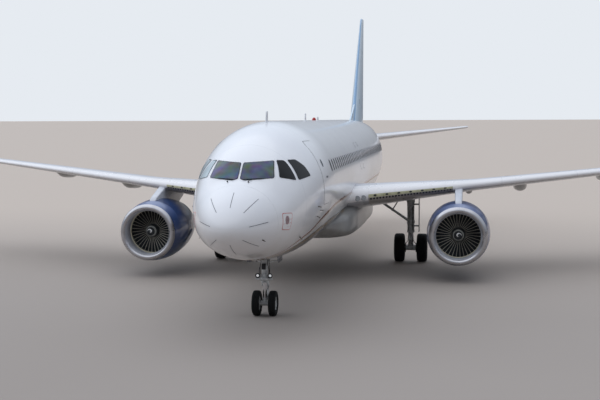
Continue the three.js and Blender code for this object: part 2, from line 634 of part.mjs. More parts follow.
// Main leg: cylinder, piston, side stay to the body and the fairing door outboard
const MAIN_AXLE = 70;
const MAIN_LEG = { radius: 150, piston: 105, top: [MAIN_GEAR.x, 17450, 2990], split: 1230 };
function mainLeg() {
  const foot = [MAIN_GEAR.x, y(MAIN_GEAR.station), MAIN_GEAR.tyreRadius];
  const top = [MAIN_LEG.top[0], y(MAIN_LEG.top[1]), MAIN_LEG.top[2]];
  const point = z => foot.map((value, axis) => value + (top[axis] - value) * (z - foot[2]) / (top[2] - foot[2]));
  const cylinder = bar(point(MAIN_LEG.split), top, MAIN_LEG.radius, 20);
  const piston = bar(point(420), point(MAIN_LEG.split + 100), MAIN_LEG.piston, 20);
  const sleeve = bar([foot[0] - 200, foot[1], foot[2]], [foot[0] + 200, foot[1], foot[2]], 125, 16);
  const knee = point(1650);
  const stay = bar(knee, [2350, knee[1] - 30, 2640], 62, 12);
  const links = [
    bar([foot[0], foot[1] - 90, 640], [foot[0], foot[1] - 430, 980], 45, 8),
    bar([foot[0], foot[1] - 430, 980], [foot[0], point(1330)[1], 1330], 45, 8)];
  const door = box([foot[0] + 330, foot[1] - 420, 1240], [foot[0] + 362, foot[1] + 330, 2700]);
  const struts = [1500, 2400].map(z => bar(point(z), [foot[0] + 340, point(z)[1], z], 40, 8));
  const bore = bar([foot[0] - 300, foot[1], foot[2]], [foot[0] + 300, foot[1], foot[2]], boreRadius(MAIN_AXLE), BORE_SIDES);
  return joined([cylinder, piston, sleeve, stay, ...links, door, ...struts]).subtract(bore);
}

// Fuselage sections, front to back. Columns: name, stations of the two ends.
const SECTIONS = [
  ['radome', 0, 1150], ['nose_section', 1150, 6600], ['forward_fuselage', 6600, 12200],
  ['centre_fuselage', 12200, 20600], ['aft_fuselage', 20600, 30600], ['tail_cone', 30600, LENGTH],
];

// Assembly

// Solids used from both sides
const grownBody = body(0, LENGTH, FIT);
const rudder = surfaceOf(finShape, RUDDER);
const finFixed = finShape.add(slab(DORSAL.map(([station, z]) => [y(station), z]), -45, 45))
  .subtract(openingFor(RUDDER));

const cuts = {
  nose_section: [
    glazing(GLASS_DEPTH + FIT, 0, 50),
    ...[-1, 1].map(side => skinPanel(side, DOORS[0], DOOR_DEPTH + FIT, FIT)),
    box([-BAY.halfWidth, y(BAY.from), 1000], [BAY.halfWidth, y(BAY.to), BAY.top]),
  ],
  forward_fuselage: [cargoOpening(CARGO[0])],
  aft_fuselage: [cargoOpening(CARGO[1]), ...[-1, 1].map(side => skinPanel(side, DOORS[1], DOOR_DEPTH + FIT, FIT))],
};
const extras = {
  nose_section: [
    antenna(ANTENNAS[0]),
    bar([0, y(NOSE_JACK.station), 2100], [0, y(NOSE_JACK.station), NOSE_JACK.face], NOSE_JACK.radius, 24),
    ...[-1, 1].map(side => {
      const [a, b] = [BAY.halfWidth + 4, BAY.halfWidth + 4 + BAY_DOOR.thick].map(x => side * x).sort((p, q) => p - q);
      return box([a, y(BAY_DOOR.from), BAY_DOOR.low], [b, y(BAY_DOOR.to), BAY_DOOR.high]);
    }),
  ],
  forward_fuselage: [antenna(ANTENNAS[2])],
  centre_fuselage: [antenna(ANTENNAS[1])],
};
for (const [name, from, to] of SECTIONS) {
  const shell = joined([body(from, to - (to < LENGTH ? FIT : 0)), ...(extras[name] ?? [])]);
  add(part, name, without(shell, cuts[name] ?? []), WHITE_PAINT);
}
add(part, 'cockpit_glazing', glazing(GLASS_DEPTH, 0.5), GLASS);
for (const row of DOORS) {
  add(part, `${row[0]}_door_left`, skinPanel(1, row, DOOR_DEPTH), WHITE_PAINT);
  add(part, `${row[0]}_door_right`, skinPanel(-1, row, DOOR_DEPTH), WHITE_PAINT);
}
for (const row of CARGO) add(part, `${row[0]}_cargo_door`, cargoDoor(row), WHITE_PAINT);

// The left wing with what it carries. The right one is its mirror image.
const slatShape = wingShape.intersect(slatBlock(0));
const wing = joined([
  without(wingShape, [openingFor(AILERON), ...SPOILERS.map(spoilerPocket), slatBlock(FIT), grownBody]),
  fence,
  ...FAIRINGS.map(row => trackFairing(row)),
  bar([WING_JACK.x, y(WING_JACK.station), onWing(WING_JACK.x, 0.5).z],
    [WING_JACK.x, y(WING_JACK.station), WING_JACK.face], WING_JACK.radius, 24),
]);
const wingCutter = wingSolid(2 * FIT).add(joined(FAIRINGS.map(row => trackFairing(row, 2 * FIT))));
const nacelle = toEngine(lathe(COWL));
const cowlEnd = COWL.findIndex((row, k) => COWL[k + 1][1] === row[1]);
const engineCutter = toEngine(joined([
  lathe([[0, 270], ...COWL.slice(0, cowlEnd + 1).map(([r, along]) => [r + 2 * FIT, along]), [0, COWL[cowlEnd][1]]]),
  lathe(CORE.map(([r, along]) => [r && r + 2 * FIT, along])),
]));
const pylon = without(slab(PYLON.map(([station, z]) => [y(station), z]), ENGINE.x - PYLON_THICK / 2,
  ENGINE.x + PYLON_THICK / 2), [wingCutter, engineCutter]);
const fairingCutter = bellyFairing.scale([1 + FIT / 1000, 1, 1 + FIT / 1000]);
const leg = without(mainLeg(), [wingCutter, fairingCutter, grownBody]);
const sided = {
  wing: [wing, WING_GREY],
  inboard_slat: [slatShape, WING_GREY],
  aileron: [surfaceOf(wingShape, AILERON), WING_GREY],
  ...Object.fromEntries(SPOILERS.map(row => [`${row[0]}_spoiler`, [spoiler(row), WING_GREY]])),
  pylon: [pylon, GREY_PAINT],
  inlet_lip: [toEngine(lathe(LIP.map(([r, along]) => [r, Math.min(along, 270 - FIT)]))), POLISHED],
  nacelle: [nacelle, BLUE_PAINT],
  core_engine: [toEngine(core()), TITANIUM],
  fan: [toEngine(fan()), FAN_METAL],
  tailplane: [without(tailplaneShape, [grownBody, openingFor(ELEVATOR)]), WING_GREY],
  elevator: [surfaceOf(tailplaneShape, ELEVATOR), WING_GREY],
  main_leg: [leg, GEAR_PAINT],
  main_wheels: [standing(MAIN_GEAR, wheels(MAIN_GEAR, MAIN_AXLE, MAIN_GEAR.x)), GEAR_PAINT],
  main_tyre_outer: [standing(MAIN_GEAR, tyre(MAIN_GEAR, MAIN_GEAR.x + MAIN_GEAR.track)), TYRE_RUBBER],
  main_tyre_inner: [standing(MAIN_GEAR, tyre(MAIN_GEAR, MAIN_GEAR.x - MAIN_GEAR.track)), TYRE_RUBBER],
};
for (const [name, [made, material]] of Object.entries(sided)) {
  add(part, `${name}_left`, made, material);
  add(part, `${name}_right`, mirrored(made), material);
}
add(part, 'belly_fairing', without(bellyFairing, [grownBody, wingSolid(2 * FIT), mirrored(wingSolid(2 * FIT))]), GREY_PAINT);
add(part, 'fin', without(finFixed, [grownBody]), FIN_BLUE);
add(part, 'rudder', rudder, FIN_BLUE);
add(part, 'nose_leg', noseLeg(), GEAR_PAINT);
add(part, 'nose_fork', noseFork(), CHROME);
add(part, 'nose_wheels', standing(NOSE_GEAR, wheels(NOSE_GEAR, NOSE_AXLE, 0)), GEAR_PAINT);
add(part, 'nose_tyre_left', standing(NOSE_GEAR, tyre(NOSE_GEAR, NOSE_GEAR.track)), TYRE_RUBBER);
add(part, 'nose_tyre_right', standing(NOSE_GEAR, tyre(NOSE_GEAR, -NOSE_GEAR.track)), TYRE_RUBBER);

export default part;
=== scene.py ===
# %% [markdown]
# A single-aisle airliner with two engines under its wings, standing on its landing gear at a gate.
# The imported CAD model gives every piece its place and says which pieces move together. This script gives
# the pieces their real surfaces: smooth painted skins, glass, polished lips, fan blades, gear and tyres.
# It loads the frame first, because every new piece rides on one of the frame's bodies.

import math
from bisect import bisect_right
from functools import partial

import bmesh
import bpy
from mathutils import Matrix, Vector


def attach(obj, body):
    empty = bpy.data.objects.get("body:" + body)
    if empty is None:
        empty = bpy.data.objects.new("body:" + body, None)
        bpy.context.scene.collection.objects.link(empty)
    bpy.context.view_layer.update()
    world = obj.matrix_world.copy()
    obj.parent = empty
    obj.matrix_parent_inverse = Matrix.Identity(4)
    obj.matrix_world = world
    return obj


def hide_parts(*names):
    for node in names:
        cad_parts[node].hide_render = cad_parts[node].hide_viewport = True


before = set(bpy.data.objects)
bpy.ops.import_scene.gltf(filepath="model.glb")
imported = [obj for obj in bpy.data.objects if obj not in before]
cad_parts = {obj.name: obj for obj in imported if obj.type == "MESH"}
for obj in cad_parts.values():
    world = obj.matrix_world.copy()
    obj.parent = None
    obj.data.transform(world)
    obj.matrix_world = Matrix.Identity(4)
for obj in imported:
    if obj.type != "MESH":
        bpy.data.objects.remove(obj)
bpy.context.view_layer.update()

# %% [markdown]
# Aircraft drawings place things by station: the distance aft of the tip of the nose. The origin of the
# frame is half way along the aircraft, so one small function turns a station into Y. X points to the left
# wing and Z up. All lengths are in metres.

# %% Stations
LENGTH = 37.57


def aft(station):
    """The Y of a station."""
    return station - LENGTH / 2


print("nose at", aft(0), "tail at", aft(LENGTH))

# %% [markdown]
# The photographer stood on a high floor a little to the left wing's side of the nose. The camera was found
# by fitting known points of the aircraft to the picture, so it is given here as a place and three turns
# and not by eye. The lens is a short telephoto of 62.9 mm on a frame 36 mm wide.

# %% Camera
EYE = Vector((5.8024, aft(-25.7592), 5.9417))
YAW, PITCH, ROLL = -0.152, -0.0777, -0.0034
ahead = Vector((math.sin(YAW) * math.cos(PITCH), math.cos(YAW) * math.cos(PITCH), math.sin(PITCH)))
level = Vector((math.cos(YAW), -math.sin(YAW), 0))
above = level.cross(ahead)
right = level * math.cos(ROLL) + above * math.sin(ROLL)
upward = above * math.cos(ROLL) - level * math.sin(ROLL)

camera = bpy.data.objects.new("camera", bpy.data.cameras.new("camera"))
camera.data.lens = 62.9
camera.data.sensor_width = 36
camera.data.clip_end = 6000
camera.matrix_world = Matrix.Translation(EYE) @ Matrix((right, upward, -ahead)).transposed().to_4x4()
bpy.context.scene.collection.objects.link(camera)
bpy.context.scene.camera = camera
# The standard view keeps black tyres black and white paint white, as the photograph's own tone curve does.
bpy.context.scene.view_settings.view_transform = "Standard"
print("camera to nose", round((Vector((0, aft(0), 3.1)) - EYE).length, 1), "m")

# %% [markdown]
# Every material below is a short chain of nodes. Colours are written as the sRGB hex values that a paint
# card shows, and a shader wants linear light, so one function converts them. A second function adds a node
# with its settings and its links in one line, so a finish reads from top to bottom. Most finishes are
# mottled, and some have more coats painted over them, each through a mask. Where a finish has a pattern of
# its own, the word add stands for adding a node to it.

# %% Colour and node helpers


def linear(hex_colour):
    """An sRGB hex value as linear colour for a shader."""
    shares = [int(hex_colour[i:i + 2], 16) / 255 for i in (1, 3, 5)]
    return tuple(c / 12.92 if c <= 0.04045 else ((c + 0.055) / 1.055) ** 2.4 for c in shares) + (1.0,)


def add_node(tree, kind, inputs=(), stops=(), **settings):
    """Adds a node. The inputs are a list in the node's own order, or go by name or number. Each one is a
    number, a colour, a socket, or a node that gives its first output. Stops colour a ramp."""
    made = tree.nodes.new("ShaderNode" + kind)
    for name, value in settings.items():
        setattr(made, name, value)
    for socket, value in inputs.items() if isinstance(inputs, dict) else enumerate(inputs):
        if isinstance(value, bpy.types.Node):
            value = value.outputs[0]
        if isinstance(value, bpy.types.NodeSocket):
            tree.links.new(value, made.inputs[socket])
        else:
            made.inputs[socket].default_value = value
    for k, (place, hex_colour) in enumerate(stops):
        stop = made.color_ramp.elements[k] if k < 2 else made.color_ramp.elements.new(place)
        stop.position, stop.color = place, linear(hex_colour)
    return made


SHADER = "Principled BSDF"


def new_finish(name, **values):
    """A material, with plain numbers set on its shader's own sockets."""
    finish = bpy.data.materials.new(name)
    finish.use_nodes = True
    for socket, value in values.items():
        finish.node_tree.nodes[SHADER].inputs[socket.replace("_", " ")].default_value = value
    return finish


def embossed(finish, height, strength, distance, socket="Normal"):
    """Presses a pattern into a finish, or into its clear coat."""
    tree = finish.node_tree
    bump = add_node(tree, "Bump", {"Height": height, "Strength": strength, "Distance": distance})
    tree.links.new(bump.outputs["Normal"], tree.nodes[SHADER].inputs[socket])


def mottled(name, scale, dark, pale, low=0.3, high=0.7, shine=(0.4, 0.5), bump=0.0, **values):
    """A finish whose colour and roughness drift between two limits. Scale is patches a metre."""
    finish = new_finish(name, **values)
    tree = finish.node_tree
    sockets = tree.nodes[SHADER].inputs
    place = add_node(tree, "TexCoord").outputs["Object"]
    patches = add_node(tree, "TexNoise", {"Vector": place, "Scale": scale, "Detail": 4.0}).outputs["Fac"]
    tone = add_node(tree, "ValToRGB", [patches], stops=[(low, dark), (high, pale)])
    tree.links.new(tone.outputs["Color"], sockets["Base Color"])
    gloss = add_node(tree, "MapRange", [patches, low, high, *shine])
    tree.links.new(gloss.outputs[0], sockets["Roughness"])
    if bump:
        grain = add_node(tree, "TexNoise", {"Vector": place, "Scale": scale * 12, "Detail": 3.0})
        embossed(finish, grain.outputs["Fac"], 0.4, bump)
    return finish


def overpainted(finish, *coats):
    """Paints more colours over a finish. Each coat is a mask from 0 to 1 and a hex colour."""
    tree = finish.node_tree
    base = tree.nodes[SHADER].inputs["Base Color"]
    colour = base.links[0].from_socket
    for mask, hex_colour in coats:
        mix = add_node(tree, "Mix", {0: mask, 6: colour, 7: linear(hex_colour)}, data_type="RGBA")
        colour = mix.outputs[2]
    tree.links.new(colour, base)


print("white paint in linear light", [round(c, 3) for c in linear("#e9ebf0")])

# %% [markdown]
# The light is plain and soft, as under a bright overcast sky beside a building. Most of it comes from
# overhead, less from the horizon, and least from the side where the building stands behind the camera,
# so the crown is bright and the chin falls into shade. The open side of the stand is the brighter one.
# The backdrop that the camera sees is one pale tone. A wide sun behind cloud gives the shapes their top
# light. The floor is pale concrete, wide enough that its far edge is the horizon. It is darker round the
# nose and ahead of it, and paler farther out.

# %% Sky, sun and floor
world = bpy.data.worlds.new("overcast")
world.use_nodes = True
bpy.context.scene.world = world
sky = world.node_tree
place = add_node(sky, "TexCoord").outputs["Generated"]
way = add_node(sky, "SeparateXYZ", [place]).outputs
dome = add_node(sky, "ValToRGB", [way["Z"]], stops=[(0.0, "#545353"), (0.7, "#d0d8e5"), (0.3, "#bfc8d4")])
building = add_node(sky, "MapRange", [way["Y"], -0.9, 0.3, 0.66, 0.95])
overhead = add_node(sky, "MapRange", [way["Z"], 0.5, 1.0, 0.0, 1.0])
beside = add_node(sky, "MapRange", [way["X"], -0.9, 0.6, 1.85, 1.05])
share = add_node(sky, "Math", [building, beside], operation="MULTIPLY")
share = add_node(sky, "Math", [share, overhead], operation="MAXIMUM")
light = sky.nodes["Background"]
sky.links.new(dome.outputs["Color"], light.inputs["Color"])
sky.links.new(share.outputs[0], light.inputs["Strength"])
backdrop = add_node(sky, "Background", {"Color": linear("#e6ebf1"), "Strength": 1.0})
seen = add_node(sky, "LightPath").outputs["Is Camera Ray"]
mixed = add_node(sky, "MixShader", [seen, light.outputs[0], backdrop.outputs[0]])
sky.links.new(mixed.outputs[0], sky.nodes["World Output"].inputs["Surface"])

sun = bpy.data.objects.new("sun", bpy.data.lights.new("sun", "SUN"))
sun.data.energy = 0.7
sun.data.angle = math.radians(110)
sun.data.color = (1.0, 0.98, 0.95)
sun.matrix_world = Vector((-0.3, -0.05, 1.0)).to_track_quat("Z", "Y").to_matrix().to_4x4()
bpy.context.scene.collection.objects.link(sun)

FLOOR_REACH = 3000
ground = new_finish("trowelled_pale_concrete", Roughness=0.85)
nodes = ground.node_tree
place = add_node(nodes, "TexCoord").outputs["Object"]
cloud = add_node(nodes, "TexNoise", {"Vector": place, "Scale": 0.03, "Detail": 3.0}).outputs["Fac"]
tone = add_node(nodes, "ValToRGB", [cloud], stops=[(0.35, "#9a918a"), (0.7, "#a39a93")])
nodes.links.new(tone.outputs["Color"], nodes.nodes[SHADER].inputs["Base Color"])
# The concrete grows paler from the nose towards the tail and beyond.
beyond = add_node(nodes, "SeparateXYZ", [place]).outputs["Y"]
beyond = add_node(nodes, "MapRange", [beyond, -18.0, 25.0], interpolation_type="SMOOTHSTEP")
overpainted(ground, (beyond.outputs[0], "#c6b9ad"))
bm = bmesh.new()
bmesh.ops.create_grid(bm, x_segments=8, y_segments=8, size=FLOOR_REACH)
floor_mesh = bpy.data.meshes.new("floor")
bm.to_mesh(floor_mesh)
bm.free()
floor_mesh.materials.append(ground)
floor = bpy.data.objects.new("floor", floor_mesh)
bpy.context.scene.collection.objects.link(floor)
print("floor reaches", FLOOR_REACH, "m each way")

# %% [markdown]
# Most of an aircraft's skins are surfaces that run round a section and along a line. A grid bent into
# place gives such a skin in one step: one side of the grid goes round the section and the other along
# the line, and the seam where the grid meets itself is merged. Building each ring by hand and bridging
# the rings would give the same faces, with more code.

# %% Bent grids


def bent_grid(across, along, place):
    """A closed skin. place(i, j) gives the point for column i of across and row j of along."""
    bm = bmesh.new()
    bm.loops.layers.uv.new("surface")
    bmesh.ops.create_grid(bm, x_segments=across, y_segments=along, size=1, calc_uvs=True)
    for vert in bm.verts:
        i, j = round((vert.co.x + 1) / 2 * across), round((vert.co.y + 1) / 2 * along)
        vert.co = place(i, j)
    bmesh.ops.remove_doubles(bm, verts=bm.verts, dist=1e-5)
    bmesh.ops.holes_fill(bm, edges=[e for e in bm.edges if e.is_boundary], sides=0)
    bmesh.ops.recalc_face_normals(bm, faces=bm.faces)
    return bm


def evenly(start, end, count):
    """Places from start to end, with this many equal steps between them."""
    return [start + (end - start) * k / count for k in range(count + 1)]


def smooth_through(rows, at):
    """The values of a table's other columns at this place, on smooth curves that pass through its rows
    and never swing past them."""
    places = [row[0] for row in rows]
    k = min(max(bisect_right(places, at), 1), len(rows) - 1)
    span = places[k] - places[k - 1]
    share = min(max((at - places[k - 1]) / span, 0), 1)
    values = []
    for column in range(1, len(rows[0])):
        rates = [(b[column] - a[column]) / (b[0] - a[0]) for a, b in zip(rows, rows[1:])]
        slopes = [rates[0]]
        slopes += [2 * a * b / (a + b) if a * b > 0 else 0 for a, b in zip(rates, rates[1:])]
        slopes.append(rates[-1])
        low, high = rows[k - 1][column], rows[k][column]
        leaving, arriving = slopes[k - 1] * span, slopes[k] * span
        values.append((1 + 2 * share) * (1 - share) ** 2 * low + share * (1 - share) ** 2 * leaving
                      + share ** 2 * (3 - 2 * share) * high - share ** 2 * (1 - share) * arriving)
    return values


print("half way up a ramp", smooth_through([(0, 0), (1, 2), (3, 3)], 0.5))

# %% [markdown]
# Every finished piece goes through one function. It makes the object, shades it smooth except at real
# corners, lets it ride on its body and hides the CAD node that it stands for. Left and right pieces are
# made once and mirrored: the mirror turns the faces inside out, so they are reversed after it.

# %% Finished pieces


def piece(name, bm, finishes, body="airframe", replaced=(), corner=35):
    """Makes a bmesh, or a list of them, into a piece that rides on a body and stands for CAD nodes."""
    bm = joined(*bm) if isinstance(bm, list) else bm
    mesh = bpy.data.meshes.new(name)
    bm.to_mesh(mesh)
    bm.free()
    for finish in finishes if isinstance(finishes, (list, tuple)) else [finishes]:
        mesh.materials.append(finish)
    mesh.shade_smooth()
    mesh.set_sharp_from_angle(angle=math.radians(corner))
    made = bpy.data.objects.new(name, mesh)
    bpy.context.scene.collection.objects.link(made)
    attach(made, body)
    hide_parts(*replaced)


def mirrored(bm):
    """A copy on the other side of the aircraft."""
    copy = bm.copy()
    bmesh.ops.scale(copy, vec=(-1, 1, 1), verts=copy.verts)
    bmesh.ops.reverse_faces(copy, faces=copy.faces)
    return copy


def moved(bm, by):
    bmesh.ops.translate(bm, vec=by, verts=bm.verts)
    return bm


def both_sides(name, bm, finishes, body="airframe", replaced=(), corner=35):
    """A left piece and its mirror image. A body or node that ends in an underscore takes its side's name."""
    bm = joined(*bm) if isinstance(bm, list) else bm
    for side, made in (("right", mirrored(bm)), ("left", bm)):
        sided = [n + side if n.endswith("_") else n for n in (body, *replaced)]
        piece(f"{name}_{side}", made, finishes, sided[0], sided[1:], corner)


def joined(*parts):
    """Several bmeshes in one. The parts are used up."""
    whole = bmesh.new()
    for part in parts:
        mesh = bpy.data.meshes.new("part")
        part.to_mesh(mesh)
        part.free()
        whole.from_mesh(mesh)
        bpy.data.meshes.remove(mesh)
    return whole


def painted(bm, index):
    """Gives all faces of a bmesh the same place in the piece's list of finishes."""
    for face in bm.faces:
        face.material_index = index
    return bm


def carved(body, cutter, operation="DIFFERENCE"):
    """The body cut by, or kept inside, the cutter. Both bmeshes are used up."""
    pair = []
    for name, bm in (("body", body), ("cutter", cutter)):
        mesh = bpy.data.meshes.new(name)
        bm.to_mesh(mesh)
        bm.free()
        pair.append(bpy.data.objects.new(name, mesh))
        bpy.context.scene.collection.objects.link(pair[-1])
    cut = pair[0].modifiers.new("cut", "BOOLEAN")
    cut.operation = operation
    cut.solver = "EXACT"
    cut.object = pair[1]
    evaluated = pair[0].evaluated_get(bpy.context.evaluated_depsgraph_get())
    made = bmesh.new()
    made.from_mesh(evaluated.data)
    for thing in pair:
        mesh = thing.data
        bpy.data.objects.remove(thing)
        bpy.data.meshes.remove(mesh)
    return made


def block(low, high, bevel=0.0, segments=2):
    """A box between two corners, with its edges rounded where a bevel is given."""
    bm = bmesh.new()
    bmesh.ops.create_cube(bm, size=1)
    size = [b - a for a, b in zip(low, high)]
    bmesh.ops.scale(bm, vec=size, verts=bm.verts)
    moved(bm, [(a + b) / 2 for a, b in zip(low, high)])
    if bevel:
        bmesh.ops.bevel(bm, geom=bm.edges, offset=bevel, segments=segments, profile=0.5, affect="EDGES",
                        material=-1)
    return bm


def turned(profile, start, direction, steps=48, closed=False):
    """A profile of (radius, distance) points spun round the line from start in a direction."""
    bm = bmesh.new()
    verts = [bm.verts.new((radius, 0, along)) for radius, along in profile]
    edges = [bm.edges.new(ends) for ends in zip(verts, verts[1:])]
    if closed:
        edges.append(bm.edges.new((verts[-1], verts[0])))
    bmesh.ops.spin(bm, geom=verts + edges, cent=(0, 0, 0), axis=(0, 0, 1), dvec=(0, 0, 0),
                   angle=2 * math.pi, steps=steps, use_merge=True)
    bmesh.ops.remove_doubles(bm, verts=bm.verts, dist=1e-5)
    bmesh.ops.recalc_face_normals(bm, faces=bm.faces)
    turn = Vector((0, 0, 1)).rotation_difference(Vector(direction)).to_matrix().to_4x4()
    bmesh.ops.transform(bm, matrix=Matrix.Translation(start) @ turn, verts=bm.verts)
    return bm


def rod(start, end, radius, end_radius=None, steps=24, edge=0.004):
    """A round bar between two points, with a small chamfer at each end."""
    start, end = Vector(start), Vector(end)
    long = (end - start).length
    last = radius if end_radius is None else end_radius
    edge = min(edge, long / 4, radius / 3, last / 3)
    side = [(radius - edge, 0), (radius, edge), (last, long - edge), (last - edge, long)]
    return turned([(0, 0), *side, (0, long)], start, end - start, steps)


def pipe(points, radius, steps=8):
    """A thin pipe bent through some points."""
    curve = bpy.data.curves.new("pipe", "CURVE")
    curve.dimensions = "3D"
    curve.bevel_depth = radius
    curve.bevel_resolution = steps // 4
    curve.use_fill_caps = True
    line = curve.splines.new("BEZIER")
    line.bezier_points.add(len(points) - 1)
    for knot, point in zip(line.bezier_points, points):
        knot.co = point
        knot.handle_left_type = knot.handle_right_type = "AUTO"
    curve.resolution_u = 6
    holder = bpy.data.objects.new("pipe", curve)
    bm = bmesh.new()
    mesh = holder.to_mesh()
    bm.from_mesh(mesh)
    holder.to_mesh_clear()
    bpy.data.objects.remove(holder)
    bpy.data.curves.remove(curve)
    bmesh.ops.remove_doubles(bm, verts=bm.verts, dist=1e-6)
    return bm


def plate(outline, low_x, high_x, corner=0.0, edge=0.0):
    """A flat outline in stations and heights, given a thickness from one X to another."""
    bm = bmesh.new()
    bm.faces.new([bm.verts.new((low_x, aft(station), height)) for station, height in outline])
    if corner:
        bmesh.ops.bevel(bm, geom=bm.verts[:], offset=corner, segments=4, profile=0.5, affect="VERTICES",
                        material=-1)
    made = bmesh.ops.extrude_face_region(bm, geom=bm.faces[:])["geom"]
    far_side = [thing for thing in made if isinstance(thing, bmesh.types.BMVert)]
    bmesh.ops.translate(bm, vec=(high_x - low_x, 0, 0), verts=far_side)
    bmesh.ops.recalc_face_normals(bm, faces=bm.faces)
    if edge:
        rim = [e for e in bm.edges if abs(e.verts[0].co.x - e.verts[1].co.x) < 1e-6]
        bmesh.ops.bevel(bm, geom=rim, offset=edge, segments=3, profile=0.5, affect="EDGES", material=-1)
    return bm


def tubes(place, rows, steps=24):
    """Rods between places. Columns of rows: start, end, radius, and the radius at the end if it differs."""
    return [rod(place(*start), place(*end), *radii, steps=steps) for start, end, *radii in rows]


trial = rod((0, 0, 0), (0, 0, 1), 0.1)
print("a rod has", len(trial.faces), "faces")
trial.free()

# %% [markdown]
# The body is painted with a two-part white polyurethane topcoat over aluminium sheet. The sheets meet at
# frames about two metres apart and in long lap joints, and their edges print through the paint as faint
# grey lines. The lower half is painted a little warmer and duller than the crown, in soft patches. Below, a
# red and a tan line, then a charcoal and a gold one, sweep up from the chin, and the belly under them is
# grey.
# All of this depends only on where a point is, so it is painted with Object coordinates.

# %% White topcoat
FRAME_PITCH = 2.13
LAP_HEIGHT, LAP_START = 3.34, 6.6
# Station and height where the sweep of the paint lines starts and ends.
SWEEP_START, SWEEP_END = (2, 2.0), (8, 3.5)
# Sweep of the two pairs of paint lines. Columns: share of the way along, share of the way up.
UPPER_SWEEP = [(0, 0.0), (0.125, 0.167), (0.217, 0.353), (0.342, 0.473), (0.5, 0.667), (0.7, 0.79),
               (1, 0.85)]
LOWER_SWEEP = [(0, 0.0), (0.125, 0.08), (0.222, 0.187), (0.317, 0.273), (0.45, 0.363), (0.6, 0.45), (1, 0.5)]
# Columns: which sweep, height over it, half width, colour.
LINES = [(0, 0.0, 0.030, "#762a25"), (0, -0.052, 0.022, "#b0875a"), (1, -0.045, 0.045, "#343437"),
         (1, -0.122, 0.032, "#d3a040")]


def painted_skin(name, joints=True):
    """Glossy white topcoat with its lines and the grey belly. Joints draws the edges of the sheets."""
    finish = new_finish(name, Roughness=0.24, Coat_Weight=0.55, Coat_Roughness=0.08)
    tree = finish.node_tree
    add = partial(add_node, tree)
    place = add("TexCoord").outputs["Object"]
    at = add("SeparateXYZ", [place]).outputs
    clouds = add("TexNoise", {"Vector": place, "Scale": 0.7, "Detail": 4.0}).outputs["Fac"]
    white = add("Mix", {0: clouds, 6: linear("#e6e8ee"), 7: linear("#f4f5f8")}, data_type="RGBA")
    tree.links.new(white.outputs[2], tree.nodes[SHADER].inputs["Base Color"])
    # The lower half turns a little warmer and duller, in soft patches.
    low = add("MapRange", [at["Z"], 4.2, 1.9], interpolation_type="SMOOTHSTEP")
    lower_warm_patches = add("Math", [low.outputs[0], clouds], operation="MULTIPLY")
    coats = [(lower_warm_patches, "#bfb6ad")]
    if joints:
        frames = add("Math", [at["Y"], FRAME_PITCH], operation="DIVIDE")
        frames = add("Math", [frames], operation="FRACT")
        frames = add("Math", [frames, 0.5, 0.0022], operation="COMPARE")
        lap = add("Math", [at["Z"], LAP_HEIGHT, 0.004], operation="COMPARE")
        barrel = add("Math", [at["Y"], aft(LAP_START)], operation="GREATER_THAN")
        lap = add("Math", [lap, barrel], operation="MULTIPLY")
        edges = add("Math", [frames, lap], operation="MAXIMUM")
        faint = add("Math", [edges, 0.35], operation="MULTIPLY")
        coats.append((faint, "#9aa0ab"))
    (start, foot), (end, head) = SWEEP_START, SWEEP_END
    along = add("MapRange", [at["Y"], aft(start), aft(end)])
    over = []
    for points in (UPPER_SWEEP, LOWER_SWEEP):
        sweep = add("FloatCurve", {"Value": along})
        curve = sweep.mapping.curves[0]
        curve.points[0].location, curve.points[1].location = points[0], points[-1]
        for point in points[1:-1]:
            curve.points.new(*point)
        sweep.mapping.update()
        height = add("Math", [sweep.outputs[0], head - foot, foot], operation="MULTIPLY_ADD")
        above = add("Math", [at["Z"], height.outputs[0]], operation="SUBTRACT")
        over.append(above.outputs[0])
    belly = add("Math", [over[1], -0.1], operation="LESS_THAN")
    coats.append((belly, "#7c7d82"))
    for sweep, offset, half, tint in LINES:
        line = add("Math", [over[sweep], offset, half], operation="COMPARE")
        coats.append((line.outputs[0], tint))
    overpainted(finish, *coats)
    ripple = add("TexNoise", {"Vector": place, "Scale": 1.4, "Detail": 2.0}).outputs["Fac"]
    embossed(finish, ripple, 0.25, 0.012)
    return finish


TOPCOAT = painted_skin("white_polyurethane_topcoat_on_sheet")
RADOME_COAT = painted_skin("white_topcoat_on_glass_fibre_radome", joints=False)
print(TOPCOAT.name, len(TOPCOAT.node_tree.nodes), "nodes")

# %% [markdown]
# The body's section is two half ellipses that meet at the height where it is widest. The nose is half an
# ellipse in plan, so its half width grows quickly from a blunt tip. The top line is read against the root
# of the station, which gives the tip its upright start without a special case.

# %% The body's section
HALF_WIDTH, CROWN, BELLY, WIDEST = 1.975, 5.87, 1.73, 3.80
NOSE_LENGTH, CHIN_LENGTH, TIP_HEIGHT = 6.7, 6.5, 3.12
# Columns: root of the station, height of the top line.
TOP_LINE = [(math.sqrt(station), top) for station, top in (
    (0, TIP_HEIGHT), (0.1, 3.40), (0.3, 3.64), (0.6, 3.89), (1.0, 4.13), (1.45, 4.37), (1.85, 4.70),
    (2.35, 5.0), (3.0, 5.29), (4.0, 5.6), (5.0, 5.78), (6.0, 5.86), (NOSE_LENGTH, CROWN), (8.0, CROWN))]
# Columns: station, half width, top, bottom, height of the widest point.
TAIL = [
    (20.0, HALF_WIDTH, CROWN, BELLY, WIDEST), (24.0, HALF_WIDTH, CROWN, BELLY, WIDEST),
    (26.5, 1.93, 5.868, 1.96, 3.88), (29.0, 1.76, 5.85, 2.48, 4.06), (31.5, 1.44, 5.8, 3.13, 4.35),
    (33.5, 1.08, 5.7, 3.69, 4.62), (35.5, 0.69, 5.53, 4.23, 4.85), (37.0, 0.36, 5.33, 4.62, 4.96),
    (LENGTH, 0.23, 5.2, 4.76, 4.98),
]


def bow(station, length):
    """A quarter ellipse from 0 at the tip to 1 at this length."""
    return math.sqrt(max(0.0, 1 - (1 - min(1, station / length)) ** 2))


